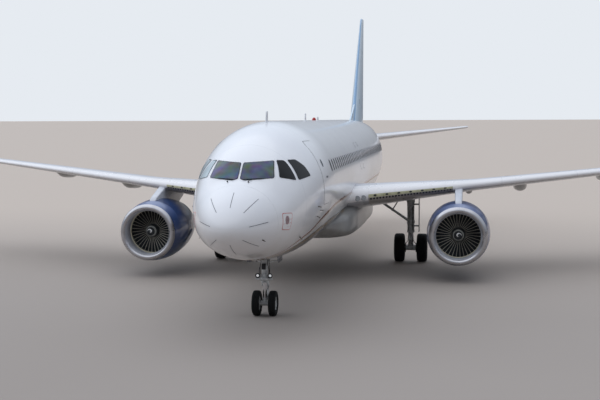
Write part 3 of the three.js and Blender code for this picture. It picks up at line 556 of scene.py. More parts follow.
def section(station):
    """Half width, top, bottom and widest height of the body."""
    if station >= TAIL[0][0]:
        return smooth_through(TAIL, station)
    rise = min(1, station / 5.5)
    top = smooth_through(TOP_LINE, math.sqrt(station))[0] if station < TOP_LINE[-1][0] ** 2 else CROWN
    return [HALF_WIDTH * bow(station, NOSE_LENGTH), top,
            TIP_HEIGHT - (TIP_HEIGHT - BELLY) * bow(station, CHIN_LENGTH),
            TIP_HEIGHT + (WIDEST - TIP_HEIGHT) * rise * rise * (3 - 2 * rise)]


def on_ring(station, angle):
    """A point on the skin."""
    half_width, top, bottom, widest = section(station)
    reach = top - widest if math.sin(angle) > 0 else widest - bottom
    return Vector((half_width * math.cos(angle), aft(station), widest + reach * math.sin(angle)))


def lifted(station, angle, lift):
    """A point this far off the skin, square to it."""
    point = on_ring(station, angle)
    round_it = on_ring(station, angle + 0.01) - on_ring(station, angle - 0.01)
    along_it = on_ring(station + 0.02, angle) - on_ring(max(0, station - 0.02), angle)
    return point + round_it.cross(along_it).normalized() * -lift


print("section at station 3", [round(value, 3) for value in section(3)])

# %% [markdown]
# A pane, a door or a stripe is easiest to draw flat, as the drawing office does: its outline seen from the
# side, in stations and heights, or seen from ahead, in X and Z. The outline is made as one face, its
# corners are rounded, planes slice it into strips so that it can bend, and each point is then moved back
# onto the skin. An extrusion gives it a thickness, and what lies below the skin is never seen.

# %% Patches laid on the skin


def from_side(side, station, height, lift):
    """The point of the skin at this station and height, on the left (1) or right (-1)."""
    _, top, bottom, widest = section(station)
    reach = top - widest if height > widest else widest - bottom
    angle = math.asin(min(max((height - widest) / reach, -1), 1))
    return lifted(station, angle if side > 0 else math.pi - angle, lift)


def from_ahead(x, height, lift):
    """The point of the nose that shows at this place from ahead."""
    near, far = 0.0, 6.0
    for _ in range(30):
        station = (near + far) / 2
        half_width, top, bottom, widest = section(station)
        reach = top - widest if height > widest else widest - bottom
        outside = (x / half_width) ** 2 + ((height - widest) / reach) ** 2 > 1
        near, far = (station, far) if outside else (near, station)
    return lifted(station, math.atan2((height - widest) / reach, x / half_width), lift)


def sheet_of(outline, corner=0.0, step=0.12, segments=4):
    """A flat outline with rounded corners, sliced so that it can bend."""
    bm = bmesh.new()
    bm.faces.new([bm.verts.new((a, b, 0)) for a, b in outline])
    if corner:
        bmesh.ops.bevel(bm, geom=bm.verts[:], offset=corner, segments=segments, profile=0.5,
                        affect="VERTICES", material=-1)
    for axis in (0, 1):
        low, high = (pick(v.co[axis] for v in bm.verts) for pick in (min, max))
        count = max(1, math.ceil((high - low) / step))
        for k in range(1, count):
            centre, normal = Vector(), Vector()
            centre[axis], normal[axis] = low + (high - low) * k / count, 1
            bmesh.ops.bisect_plane(bm, geom=bm.verts[:] + bm.edges[:] + bm.faces[:], plane_co=centre,
                                   plane_no=normal, dist=1e-6)
    return bm


def laid(outline, place, lift=0.003, depth=0.006, corner=0.0, step=0.12, segments=4):
    """A patch on the skin. Its top is lifted by this much and it reaches this deep below its top."""
    bm = sheet_of(outline, corner, step, segments)
    tops = {v: place(v.co.x, v.co.y, lift) for v in bm.verts}
    under = {v: place(v.co.x, v.co.y, lift - depth) for v in bm.verts}
    made = bmesh.ops.extrude_face_region(bm, geom=bm.faces[:])["geom"]
    flat = {(round(v.co.x, 6), round(v.co.y, 6)): under[v] for v in under}
    for vert in [g for g in made if isinstance(g, bmesh.types.BMVert)]:
        vert.co = flat[(round(vert.co.x, 6), round(vert.co.y, 6))]
    for vert, point in tops.items():
        vert.co = point
    bmesh.ops.recalc_face_normals(bm, faces=bm.faces)
    return bm


def grown(outline, by):
    """An outline drawn out from its middle by this much."""
    middle = [sum(p[axis] for p in outline) / len(outline) for axis in (0, 1)]
    return [tuple(value + by * (value - middle[axis]) / (0.7 * math.hypot(p[0] - middle[0],
                                                                          p[1] - middle[1])) for axis,
                  value in enumerate(p)) for p in outline]


def rectangle(low_a, low_b, high_a, high_b, margin=0.0):
    """The corners of a rectangle, drawn out by a margin on every side."""
    low_a, low_b, high_a, high_b = low_a - margin, low_b - margin, high_a + margin, high_b + margin
    return [(low_a, low_b), (high_a, low_b), (high_a, high_b), (low_a, high_b)]


def oval(a, b, half_wide, half_tall, corners=16):
    """The corners of an ellipse about a point."""
    turns = evenly(0, 2 * math.pi, corners)[1:]
    return [(a + half_wide * math.cos(turn), b + half_tall * math.sin(turn)) for turn in turns]


def left_side(station, height, lift):
    return from_side(1, station, height, lift)


def right_side(station, height, lift):
    return from_side(-1, station, height, lift)


print("skin beside the front door", [round(c, 2) for c in left_side(5.0, 4.4, 0)])

# %% [markdown]
# The body is built in six sections that meet at production joints, as on the real aircraft, and each one
# stands for its CAD node. The tip of the nose needs rings close together, and the straight barrel few.
# The rings of the radome follow a cosine, which puts most of them near the tip, where the skin curves most.

# %% Body sections
RING = 128


def body_skin(stations):
    return bent_grid(RING, len(stations) - 1,
                     lambda i, j: on_ring(stations[j], 2 * math.pi * (i % RING) / RING))


# Stations where one section ends and the next starts, with a gap of 3 mm between the two.
NOSE_JOINT, FORWARD_JOINT, WING_JOINT, AFT_JOINT, TAIL_JOINT, JOINT_GAP = 1.15, 6.6, 12.2, 20.6, 30.6, 0.003
RADOME_END = 1.146
radome = body_skin([RADOME_END * (1 - math.cos(turn)) for turn in evenly(0, math.pi / 2, 30)])
centre = body_skin(evenly(WING_JOINT, AFT_JOINT - JOINT_GAP, 16))
for name, skin, finish, node in (
        ("radome_shell", radome, RADOME_COAT, "radome"), ("centre_body", centre, TOPCOAT, "centre_fuselage"),
        ("tail_body", body_skin(evenly(TAIL_JOINT, LENGTH, 40)), TOPCOAT, "tail_cone")):
    piece(name, skin, finish, replaced=[node])
print("body rings of", RING, "points")

# %% [markdown]
# The nose section has the bay for the nose gear cut out of its belly, and the sections before and behind
# the wing each have a hold with a door. A boolean does what a rivet drill and shears do on the real skin.
# The cutter's faces take a second finish, so the bay and the holds get a primer of their own.

# %% Inside primer
INSIDE = mottled("epoxy_primer_inside_the_bays", 6.0, "#7d8468", "#a6ab8c", shine=(0.5, 0.6))
add = partial(add_node, INSIDE.node_tree)
place = add("TexCoord").outputs["Object"]
ribs = add("TexWave", {"Vector": place, "Scale": 1.9, "Distortion": 0.0}, bands_direction="Y")
embossed(INSIDE, ribs.outputs["Fac"], 0.6, 0.03)
print(INSIDE.name)

# %% Sections with openings
# Columns: name, stations of the front and rear edge, sill, top.
CARGO = [("forward", 7.25, 9.07, 2.05, 3.25), ("aft", 22.0, 23.82, 2.05, 3.25)]
CARGO_GAP, CARGO_DEPTH, SILL, HOLD_REACH = 0.012, 0.060, 0.070, 0.55
HINGE_X, HINGE_HEIGHT, HINGE_BAR, HINGE_GROOVE = -1.88958, 3.256, 0.012, 0.024


def cargo_bar(front, rear, radius):
    """A bar along the hinge line of a cargo door."""
    return rod((HINGE_X, aft(front), HINGE_HEIGHT), (HINGE_X, aft(rear), HINGE_HEIGHT), radius)


def cargo_opening(skin, row):
    """Cuts the pocket for a cargo door, the groove its top edge turns in and the hold behind it."""
    _, front, rear, low, high = row
    pocket = laid(rectangle(front, low, rear, high, CARGO_GAP), right_side, lift=0.08,
                  depth=0.08 + CARGO_DEPTH + CARGO_GAP)
    groove = cargo_bar(front - CARGO_GAP, rear + CARGO_GAP, HINGE_GROOVE)
    hold = block((-2.2, aft(front + SILL), low + SILL), (-HOLD_REACH, aft(rear - SILL), high - SILL))
    skin = painted(skin, 0)
    for cutter in (pocket, groove, hold):
        skin = carved(skin, painted(cutter, 1))
    return skin


GEAR_BAY = (-0.33, aft(4.88), 1.0), (0.33, aft(6.15), 2.48)
nose = carved(body_skin(evenly(NOSE_JOINT, FORWARD_JOINT - JOINT_GAP, 72)), painted(block(*GEAR_BAY), 1))
forward = cargo_opening(body_skin(evenly(FORWARD_JOINT, WING_JOINT - JOINT_GAP, 24)), CARGO[0])
behind_wing = cargo_opening(body_skin(evenly(AFT_JOINT, TAIL_JOINT - JOINT_GAP, 48)), CARGO[1])
for name, skin, node in (("nose_body", nose, "nose_section"), ("forward_body", forward, "forward_fuselage"),
                         ("aft_body", behind_wing, "aft_fuselage")):
    piece(name, skin, [TOPCOAT, INSIDE], replaced=[node], corner=28)
for name, front, rear, low, high in CARGO:
    door = laid(rectangle(front, low, rear, high), right_side, lift=0.0, depth=CARGO_DEPTH)
    for face in door.faces:
        face.material_index = int(face.normal.x > 0.5)
    piece(f"{name}_hold_door", joined(door, cargo_bar(front, rear, HINGE_BAR)), [TOPCOAT, INSIDE],
          f"{name}_cargo_door", [f"{name}_cargo_door"])
print("openings cut: nose gear bay and", len(CARGO), "holds")

# %% [markdown]
# The cockpit windows are sheets of strengthened glass and plastic with a thin gold-like heating film. The
# film turns what they reflect into slow patches of blue, violet and green over a nearly black cockpit.
# A coarse noise that swings each colour by itself gives those patches. Cabin windows are stretched
# acrylic and show a dull grey-blue, and each window sits in a black rubber seal.

# %% Window finishes
COCKPIT_GLASS = new_finish("heated_cockpit_glass_with_film", Roughness=0.06, IOR=1.5)
tree = COCKPIT_GLASS.node_tree
add = partial(add_node, tree)
place = add("TexCoord").outputs["Object"]
patches = add("TexNoise", {"Vector": place, "Scale": 3.4, "Detail": 1.0}).outputs["Color"]
swing = add("VectorMath", [patches, (3, 3, 3), (-0.55, -0.55, -0.55)], operation="MULTIPLY_ADD").outputs[0]
film = add("Mix", {0: 1.0, 6: linear("#39485c"), 7: swing}, data_type="RGBA", blend_type="MULTIPLY")
tree.links.new(film.outputs[2], tree.nodes[SHADER].inputs["Base Color"])
# What little the side windows show is the dark cockpit behind clear glass.
SIDE_GLASS = mottled("clear_side_glass_over_dark_cockpit", 3.0, "#060708", "#17191d", shine=(0.04, 0.06),
                     IOR=1.5, Specular_IOR_Level=0.15)
# On the right side the glass is painted a pale grey-blue under a clear coat, a painted reflection of the
# bright sky.
SKY_REFLECTION_GLASS = mottled("side_glass_with_painted_sky_reflection", 4.0, "#93a9b2", "#aec1c9", shine=(0.06, 0.1),
                Coat_Weight=0.4)
# Blinds drawn to different heights leave the cabin windows darker and paler in turn.
ACRYLIC = mottled("stretched_acrylic_cabin_window", 1.3, "#141a21", "#3d4854", low=0.4, high=0.65,
                  shine=(0.10, 0.14), IOR=1.49)
# Chalky weathered rubber draws the dark line round every pane and door.
SEAL = mottled("moulded_black_rubber_seal", 14.0, "#1b1c1f", "#3a3c41", shine=(0.65, 0.8))
# The frames are painted with the body and catch the light along their edges.
FRAME_METAL = mottled("painted_window_frame_casting", 9.0, "#d3d5da", "#f2f3f6", shine=(0.3, 0.4),
                      Coat_Weight=0.3)
print("window finishes", COCKPIT_GLASS.name, SIDE_GLASS.name, ACRYLIC.name)

# %% [markdown]
# The windscreen has two front panes, seen best from ahead, and on each side an opening window and a fixed
# one with a clipped rear corner, seen best from the side. Their corners were read from the photograph.
# Each pane is a patch a few millimetres proud of the skin on a slightly larger patch of black seal, inside
# a frame of painted casting. The panes stand for the one piece of glazing in the CAD model.

# %% Cockpit windows
FRONT_PANE = [(0.045, 4.745), (0.045, 4.352), (0.19, 4.318), (0.865, 4.358), (0.765, 4.785)]
OPENING_PANE = [(1.995, 4.362), (2.575, 4.268), (2.70, 4.775), (2.47, 4.785)]
FIXED_PANE = [(2.73, 4.262), (3.56, 4.335), (3.44, 4.60), (3.20, 4.775), (2.855, 4.785)]
panes, seals, surrounds = [], [], []
for side, side_name, glass in ((1, "left", SIDE_GLASS), (-1, "right", SKY_REFLECTION_GLASS)):
    def ahead_place(x, height, lift, side=side):
        return from_ahead(side * x, height, lift)

    def side_place(station, height, lift, side=side):
        return from_side(side, station, height, lift)

    side_panes = []
    # Columns: reach past the pane, lift off the skin, corner, where the front and the side patches go.
    for reach, lift, corner, front_layer, side_layer in (
            (0.0, 0.010, 0.035, panes, side_panes), (0.016, 0.006, 0.04, seals, seals),
            (0.036, 0.003, 0.05, surrounds, surrounds)):
        front_layer.append(laid(grown(FRONT_PANE, reach), ahead_place, lift, 0.03, corner=corner, step=0.08))
        side_layer.extend(laid(grown(outline, reach), side_place, lift, 0.03, corner=corner + 0.015,
                               step=0.1) for outline in (OPENING_PANE, FIXED_PANE))
    piece(f"cockpit_side_panes_{side_name}", side_panes, glass)
piece("cockpit_front_panes", panes, COCKPIT_GLASS, "airframe", ["cockpit_glazing"])
piece("cockpit_window_seals", seals, SEAL)
piece("cockpit_window_frames", surrounds, FRAME_METAL)
print("cockpit panes", len(panes) * 3)

# %% [markdown]
# Each front pane has a wiper parked along its lower edge: a blade on an arm from a shaft under the glass.

# %% Wipers
wipers = []
for side in (1, -1):
    foot = from_ahead(side * 0.28, 4.262, 0.012)
    elbow = from_ahead(side * 0.30, 4.295, 0.04)
    tips = [from_ahead(side * x, height, 0.03) for x, height in ((0.13, 4.318), (0.60, 4.338))]
    wipers += [rod(foot, foot + Vector((0, -0.03, 0.02)), 0.018, steps=16),
               pipe([foot, elbow, (tips[0] + tips[1]) / 2], 0.007), rod(tips[0], tips[1], 0.008, steps=12)]
piece("windscreen_wipers", wipers, SEAL)
print("wipers at stations", round(foot.y + LENGTH / 2, 2))

# %% [markdown]
# Thin metal strips glued to the radome lead lightning away from the radar. They fan out from the tip in
# eight directions. Beside them, each side has a plate round its static ports that is outlined in red so
# that nobody paints over it, and small heated probes that stand out of the skin.

# %% Finishes for small fittings
# Bare weathered aluminium, a dull dark grey beside the white paint.
STRIP = mottled("bare_aluminium_diverter_strip", 30.0, "#4b4d55", "#84868d", shine=(0.45, 0.55),
                Metallic=0.6)
# Sun and rain have faded the enamel unevenly.
RED_LINE_PAINT = mottled("red_marking_enamel", 12.0, "#b04e4c", "#d48a86", shine=(0.35, 0.5))
# The bare metal round the ports has picked up a little of the red.
PORT_METAL = mottled("reddish_bare_metal_round_the_ports", 16.0, "#80666b", "#a58c90", shine=(0.4, 0.5))
# Heating has browned the probes.
PROBE_STEEL = mottled("heated_probe_steel", 20.0, "#55504b", "#8d8983", shine=(0.3, 0.4), Metallic=1.0)
print("fitting finishes", STRIP.name, RED_LINE_PAINT.name, PROBE_STEEL.name)

# %% Diverter strips
# Ends of the strips from ahead: X and height of the inner and the outer end.
STRIPS = [
    ((0.0, 3.67), (0.0, 4.025)), ((0.355, 3.545), (0.632, 3.86)), ((0.512, 3.195), (0.905, 3.27)),
    ((0.342, 2.857), (0.645, 2.635)), ((0.0, 2.723), (0.01, 2.386)), ((-0.342, 2.857), (-0.645, 2.635)),
    ((-0.512, 3.195), (-0.905, 3.27)), ((-0.355, 3.545), (-0.632, 3.86)),
]
# The strips are 8 mm wide on the real radome, and a little wider here so that they show.
STRIP_WIDTH = 0.013
strips = []
for (x0, z0), (x1, z1) in STRIPS:
    long = math.hypot(x1 - x0, z1 - z0)
    dx, dz = (z1 - z0) / long * STRIP_WIDTH / 2, (x0 - x1) / long * STRIP_WIDTH / 2
    outline = [(x0 + dx, z0 + dz), (x1 + dx, z1 + dz), (x1 - dx, z1 - dz), (x0 - dx, z0 - dz)]
    strips.append(laid(outline, from_ahead, 0.005, 0.01, step=0.05))
piece("lightning_diverter_strips", strips, STRIP)
print("diverter strips", len(STRIPS))

# %% Static ports and probes
PLATE = [(1.36, 3.455), (1.345, 3.01), (1.80, 2.965), (1.86, 3.425)]
PORT_CENTRE = (1.58, 3.25)
marks, plates, ports = [], [], []
for side in (left_side, right_side):
    marks.append(laid(PLATE, side, 0.003, 0.01, corner=0.05))
    plates.append(laid(grown(PLATE, -0.018), side, 0.0045, 0.01, corner=0.045))
    ports.append(laid(oval(*PORT_CENTRE, 0.10, 0.115), side, 0.0065, 0.01))
piece("static_port_borders", marks, RED_LINE_PAINT)
piece("static_port_plates", plates, TOPCOAT)
piece("static_port_discs", ports, PORT_METAL)


def probe(place, station, height, length=0.16):
    """A tube that points forward on a short mast."""
    foot = place(station, height, -0.01)
    head = place(station, height, 0.10) + Vector((0, -0.03, 0))
    tube = rod(head + Vector((0, 0.03, 0)), head - Vector((0, length, 0)), 0.014, 0.009, steps=12)
    return joined(rod(foot, head, 0.022, 0.012, steps=12), tube)


probes = [probe(place, station, height) for place in (left_side, right_side)
          for station, height in ((3.05, 2.64), (3.95, 3.42), (4.1, 3.12))]
vane = block((0.0, -0.12, -0.02), (0.10, 0.0, -0.005), 0.004)
for place, leaf in ((left_side, vane), (right_side, mirrored(vane))):
    probes.append(moved(leaf, place(4.3, 3.3, 0.0)))
near_tip = from_ahead(0.763, 2.81, 0.0)
probes.append(rod(near_tip, near_tip + Vector((0.085, -0.05, -0.03)), 0.018, 0.012, steps=12))
piece("air_data_probes", probes, PROBE_STEEL)
print("probes", len(probes))

# %% [markdown]
# Under the nose, two front doors have closed again behind the lowered gear and two rear doors hang open
# beside its leg. Thin blades on the centre line are radio antennas, and a small flat pad takes the nose
# jack. The closed doors are patches placed from below, since their outline is square in plan.

# %% Nose gear doors, antennas and jack pad


def from_below(x, station, lift):
    """The point of the belly at this distance from the centre line."""
    return lifted(station, -math.acos(x / section(station)[0]), lift)


closed, gaps, hanging = [], [], []
for side in (1, -1):
    low, high = sorted((side * 0.007, side * 0.31))
    closed.append(laid(rectangle(low, 3.78, high, 4.86), from_below, 0.004, 0.02, corner=0.02))
    gaps.append(laid(rectangle(low, 3.78, high, 4.86, 0.012), from_below, 0.001, 0.02))
    hanging.append(plate([(5.33, 1.66), (5.50, 1.55), (6.13, 1.55), (6.13, 1.84), (5.33, 1.84)],
                         *sorted((side * 0.334, side * 0.358)), corner=0.05, edge=0.006))
piece("front_gear_doors", closed, TOPCOAT)
piece("front_gear_door_gaps", gaps, SEAL)
piece("rear_gear_doors", hanging, TOPCOAT)
# Columns: station, height of the foot, height above it (negative hangs below), length.
ANTENNAS = [(5.5, 5.70, 0.46, 0.33), (13.5, 5.80, 0.33, 0.28), (9.8, 1.80, -0.34, 0.26),
            (16.9, 5.80, 0.20, 0.5)]
blades = []
for station, foot, rise, long in ANTENNAS:
    outline = [(station - long / 2, foot), (station - long * 0.1, foot + rise),
               (station + long * 0.42, foot + rise), (station + long / 2, foot)]
    blades.append(plate(outline, -0.017, 0.017, corner=0.03, edge=0.012))
piece("blade_antennas", blades, FRAME_METAL)
piece("nose_jack_pad", rod((0, aft(2.75), 2.05), (0, aft(2.75), 1.95), 0.07), STRIP)
print("antennas", len(ANTENNAS))

# %% [markdown]
# Four plug doors let the passengers in and out. They move inwards and then along the side, so they have no
# joint here and stand flush. A seal shows as a dark line round each one. Each has a small window and a
# flush handle. Two smaller exits a side open over the wing.

# %% Passenger doors and overwing exits
# Columns: name, stations of the front and rear edge, sill, top.
DOORS = [("front", 4.615, 5.425, 3.42, 5.27), ("rear", 29.05, 29.86, 3.47, 5.29)]
WINDOW_PITCH, FIRST_WINDOW, WINDOWS, WINDOW_HEIGHT = 0.533, 6.3, 42, 4.5
EXITS = [FIRST_WINDOW + WINDOW_PITCH * k for k in (17, 19)]


def pane_at(place, station, height, wide, tall, lift, depth=0.008, corner=0.11):
    """A small window of this size."""
    outline = rectangle(station - wide / 2, height - tall / 2, station + wide / 2, height + tall / 2)
    return laid(outline, place, lift, depth, corner=min(corner, wide * 0.48), step=0.2, segments=6)


door_gaps, handles, small_panes = [], [], []
for side_name, side in (("left", left_side), ("right", right_side)):
    for name, front, rear, low, high in DOORS:
        leaf = laid(rectangle(front, low, rear, high, -0.006), side, 0.005, 0.022, corner=0.11)
        piece(f"{name}_passenger_door_{side_name}", leaf, TOPCOAT, "airframe", [f"{name}_door_{side_name}"])
        door_gaps.append(laid(rectangle(front, low, rear, high, 0.008), side, 0.0015, 0.02, corner=0.12))
        middle = (front + rear) / 2
        small_panes.append(pane_at(side, middle, 4.62, 0.16, 0.22, 0.0075, corner=0.07))
        grip = rectangle(middle + 0.06, 4.18, middle + 0.30, 4.235)
        handles.append(laid(grip, side, 0.008, 0.01, corner=0.02))
    for station in EXITS:
        door_gaps.append(pane_at(side, station, 4.46, 0.53, 1.04, 0.0015, corner=0.1))
        leaf = pane_at(side, station, 4.46, 0.505, 1.015, 0.004, corner=0.09)
        piece(f"overwing_exit_{side_name}_{round(station)}", leaf, TOPCOAT)
        handles.append(laid(rectangle(station - 0.06, 4.83, station + 0.06, 4.87), side, 0.007, 0.01,
                            corner=0.015))
piece("door_seals", door_gaps, SEAL)
piece("door_handles", handles, STRIP)
print("doors", 2 * len(DOORS), "exits", 2 * len(EXITS))

# %% [markdown]
# The cabin windows stand one to a frame bay, in line above the floor. Each is a pane with well-rounded
# corners in a thin metal retainer. There is none where a door is.

# %% Cabin windows
retainers = []
for side in (left_side, right_side):
    for k in range(WINDOWS):
        station = FIRST_WINDOW + WINDOW_PITCH * k
        retainers.append(pane_at(side, station, WINDOW_HEIGHT, 0.258, 0.362, 0.0055, corner=0.12))
        small_panes.append(pane_at(side, station, WINDOW_HEIGHT, 0.222, 0.326, 0.0065, corner=0.105))
piece("cabin_window_retainers", retainers, STRIP)
piece("cabin_window_panes", small_panes, ACRYLIC)
print("cabin windows", 2 * WINDOWS)

# %% [markdown]
# The belly fairing smooths the join of wing and body and hides the wheel wells and the air packs. Its
# section is a rounded box. Both ends dive under the skin, so it seems to grow out of the belly. Its paint
# is the grey of the lower body.

# %% Belly fairing
FAIRING_GREY = mottled("grey_topcoat_on_honeycomb_fairing", 1.5, "#8d8c8a", "#a5a4a2", shine=(0.28, 0.4),
                       Coat_Weight=0.3)
# Columns: station, half width, top, bottom.
FAIRED = [(10.75, 1.15, 2.25, 1.98), (11.6, 1.86, 2.65, 1.64), (12.6, 2.09, 2.90, 1.52),
          (15.0, 2.13, 2.98, 1.47), (18.5, 2.12, 2.95, 1.47), (20.5, 1.96, 2.76, 1.56),
          (22.1, 1.15, 2.25, 1.98)]
FAIRING_RING, FAIRING_ROWS = 96, 60
FAIRING_STATIONS = evenly(FAIRED[0][0], FAIRED[-1][0], FAIRING_ROWS)


def rounded(value, power=0.55):
    """A sine or cosine drawn out towards 1, which squares the corners of an ellipse."""
    return math.copysign(abs(value) ** power, value)


def on_fairing(i, j):
    half_width, top, bottom = smooth_through(FAIRED, FAIRING_STATIONS[j])
    angle = 2 * math.pi * (i % FAIRING_RING) / FAIRING_RING
    return Vector((half_width * rounded(math.cos(angle)), aft(FAIRING_STATIONS[j]),
                   (top + bottom) / 2 + (top - bottom) / 2 * rounded(math.sin(angle))))


piece("belly_fairing_skin", bent_grid(FAIRING_RING, FAIRING_ROWS, on_fairing), FAIRING_GREY, "airframe",
      ["belly_fairing"])
print("fairing", round(FAIRED[-1][0] - FAIRED[0][0], 2), "m long")

# %% [markdown]
# A wing or a tail surface is an aerofoil drawn along a span. The aerofoil is tabled against the square root
# of the distance along the chord, so that its nose comes out round, and smooth curves pass through the
# table. The ring of points runs from the upper trailing edge round the nose and back along the underside.
# The same function makes the wing, the fin and the tailplane.

# %% Aerofoil skins
# Columns: station of the leading and trailing edge, heights of both edges and thickness, after X.
WING = [(1.2, 11.597, 18.09, 2.99, 2.67, 1.01), (6.4, 14.304, 18.15, 3.4, 3.2, 0.45),
        (16.99, 19.817, 21.282, 4.236, 4.203, 0.16)]
# Columns: root of the share of the chord, upper and lower surface as shares of the thickness.
AEROFOIL = [(math.sqrt(share), upper, lower) for share, upper, lower in (
    (0, 0, 0), (0.015, 0.20, -0.17), (0.05, 0.34, -0.28), (0.13, 0.47, -0.39), (0.28, 0.55, -0.45),
    (0.45, 0.53, -0.42), (0.6, 0.45, -0.3), (0.72, 0.34, -0.18), (0.84, 0.21, -0.08), (1, 0.03, -0.02))]
TAIL_FOIL = [(math.sqrt(share), half, -half) for share, half in ((0, 0), (0.02, 0.2), (0.08, 0.36),
                                                                 (0.2, 0.47), (0.35, 0.5), (0.5, 0.44),
                                                                 (0.7, 0.28), (0.85, 0.15), (1, 0.03))]
# Fin. Columns: height, stations of the leading and trailing edge, thickness.
FIN = [(5.35, 30.89, 36.96, 0.56), (5.9, 31.33, 37.0, 0.54), (11.66, 35.86, 37.38, 0.17),
       (11.72, 36.0, 37.37, 0.15), (11.755, 36.1, 37.36, 0.06)]
# Tailplane. Columns: X, stations of the leading and trailing edge, height, thickness.
TAILPLANE = [(0.25, 31.75, 35.9, 4.79, 0.44), (6.15, 35.3, 36.74, 5.412, 0.145),
             (6.2, 35.34, 36.74, 5.417, 0.12), (6.222, 35.4, 36.72, 5.42, 0.05)]
FOIL_POINTS = 81


def straight_through(rows, at):
    """The other columns of a table at this place, on straight lines between its rows."""
    k = min(max(bisect_right([row[0] for row in rows], at), 1), len(rows) - 1)
    share = min(max((at - rows[k - 1][0]) / (rows[k][0] - rows[k - 1][0]), 0), 1)
    return [a + share * (b - a) for a, b in zip(rows[k - 1][1:], rows[k][1:])]


def on_wing(x, share, rise=0.0):
    front, rear, front_height, rear_height, thick = straight_through(WING, x)
    height = front_height + share * (rear_height - front_height) + rise * thick
    return Vector((x, aft(front + share * (rear - front)), height))


def on_fin(height, share, side=0.0):
    front, rear, thick = straight_through(FIN, height)
    return Vector((side * thick, aft(front + share * (rear - front)), height))


def on_tailplane(x, share, side=0.0):
    front, rear, height, thick = straight_through(TAILPLANE, x)
    return Vector((x, aft(front + share * (rear - front)), height + side * thick))


def foil_skin(places, point, foil):
    """An aerofoil skin through these places along the span."""
    def place(i, j):
        way_round = (i % FOIL_POINTS) / (FOIL_POINTS - 1)
        root = abs(1 - 2 * way_round)
        rise = smooth_through(foil, root)[0 if way_round < 0.5 else 1]
        return point(places[j], root * root, rise)
    return bent_grid(FOIL_POINTS, len(places) - 1, place)


def wing_top(x, back, lift):
    """A point on the wing's upper skin. Back is four times the share of the chord, roughly metres."""
    rise = smooth_through(AEROFOIL, math.sqrt(back / 4))[0]
    return on_wing(x, back / 4, rise) + Vector((0, 0, lift))


print("wing tip", [round(c, 2) for c in on_wing(16.99, 0)])

# %% [markdown]
# Ailerons, elevators and the rudder turn about a line inside the surface. Each has a round nose along that
# line, and the fixed part in front is hollowed to match with a gap of 10 mm. A block behind the hinge line
# keeps the moving part of the skin, and a slightly larger block and bar cut the opening for it.

# %% Hinged surfaces
RUNNING = 0.010


def behind(a, b, grow):
    """A block behind the line from a to b."""
    along = (b - a).normalized()
    back = (Vector((0, 1, 0)) - along * along.y).normalized()
    bm = block((-grow, 0, -0.8), ((b - a).length + grow, 3, 0.8))
    turn = Matrix((along, back, along.cross(back))).transposed().to_4x4()
    bmesh.ops.transform(bm, matrix=Matrix.Translation(a) @ turn, verts=bm.verts)
    return bm


def hinge_bar(a, b, radii, grow):
    along = (b - a).normalized() * grow
    return rod(a - along, b + along, radii[0] + grow, radii[1] + grow, steps=32, edge=0.002)


def hinged(skin, a, b, radii):
    """The moving part of a skin, and the skin with the opening for it."""
    moving = joined(carved(skin.copy(), behind(a, b, 0), "INTERSECT"), hinge_bar(a, b, radii, 0))
    fixed = carved(carved(skin, hinge_bar(a, b, radii, RUNNING)), behind(a, b, RUNNING))
    return moving, fixed


print("gap round a moving surface", RUNNING * 1000, "mm")

# %% [markdown]
# The wing is painted a pale grey that looks lavender under the sky. Its slats along the front are painted
# nearly white, a painted highlight for the light that the leading edge catches, so it reads as a crisp pale
# line. The wing's own UV map gives the way round the aerofoil, so the slat, flap and spar lines follow the
# chord, and Object coordinates give the ribs. Inboard of the pylon a band along the front is in its
# yellow-green primer, with round holes in it, and below it a row of slots opens in the bare underside. The
# holes and the slots are painted dark, painted shade for the openings.

# %% Wing finishes
# Nearly white along the leading edge: a painted highlight.
PAINTED_HIGHLIGHT_WHITE = "#ebe9ea"
# Places round the aerofoil, as roots of the share of the chord, and the distance between ribs.
SLAT_LINE, FLAP_LINE, SPAR_LINE, RIB_PITCH = 0.36, 0.905, 0.80, 2.95
WING_PAINT = mottled("pale_grey_topcoat_on_wing_skin", 0.8, "#cfcfd6", "#dbdbe2", shine=(0.25, 0.34),
                     Coat_Weight=0.4, Coat_Roughness=0.1)
add = partial(add_node, WING_PAINT.node_tree)
place = add("TexCoord").outputs
way_round = add("SeparateXYZ", [place["UV"]]).outputs["X"]
way_round = add("Math", [way_round, -2 * FOIL_POINTS / (FOIL_POINTS - 1), 1.0], operation="MULTIPLY_ADD")
root = add("Math", [way_round], operation="ABSOLUTE")
out = add("SeparateXYZ", [place["Object"]]).outputs["X"]
ribs = add("Math", [out, RIB_PITCH], operation="DIVIDE")
ribs = add("Math", [ribs], operation="FRACT")
lines = add("Math", [ribs, 0.5, 0.002], operation="COMPARE")
for line, half in ((SLAT_LINE, 0.004), (FLAP_LINE, 0.002), (SPAR_LINE, 0.0015)):
    edge = add("Math", [root, line, half], operation="COMPARE")
    lines = add("Math", [lines, edge], operation="MAXIMUM")
lines = add("Math", [lines, 0.5], operation="MULTIPLY")
front = add("Math", [root, SLAT_LINE], operation="LESS_THAN")
under = add("Math", [way_round, -0.12], operation="LESS_THAN")
overpainted(WING_PAINT, (front, PAINTED_HIGHLIGHT_WHITE), (under, "#b3b3b6"), (lines, "#8f949f"))

SLAT_PRIMER = mottled("yellow_green_primer_on_slat_nose", 5.0, "#a3a17c", "#cdc9a6", shine=(0.25, 0.34),
                      Coat_Weight=0.4, Coat_Roughness=0.1)
add = partial(add_node, SLAT_PRIMER.node_tree)
place = add("TexCoord").outputs
across = add("SeparateXYZ", [place["UV"]]).outputs["X"]
across = add("Math", [across, -2 * FOIL_POINTS / (FOIL_POINTS - 1), 1.0], operation="MULTIPLY_ADD")
out = add("SeparateXYZ", [place["Object"]]).outputs["X"]
out = add("Math", [out], operation="ABSOLUTE")
# The holes and the slots are painted as dark spots, painted shade for the openings.
holes = []
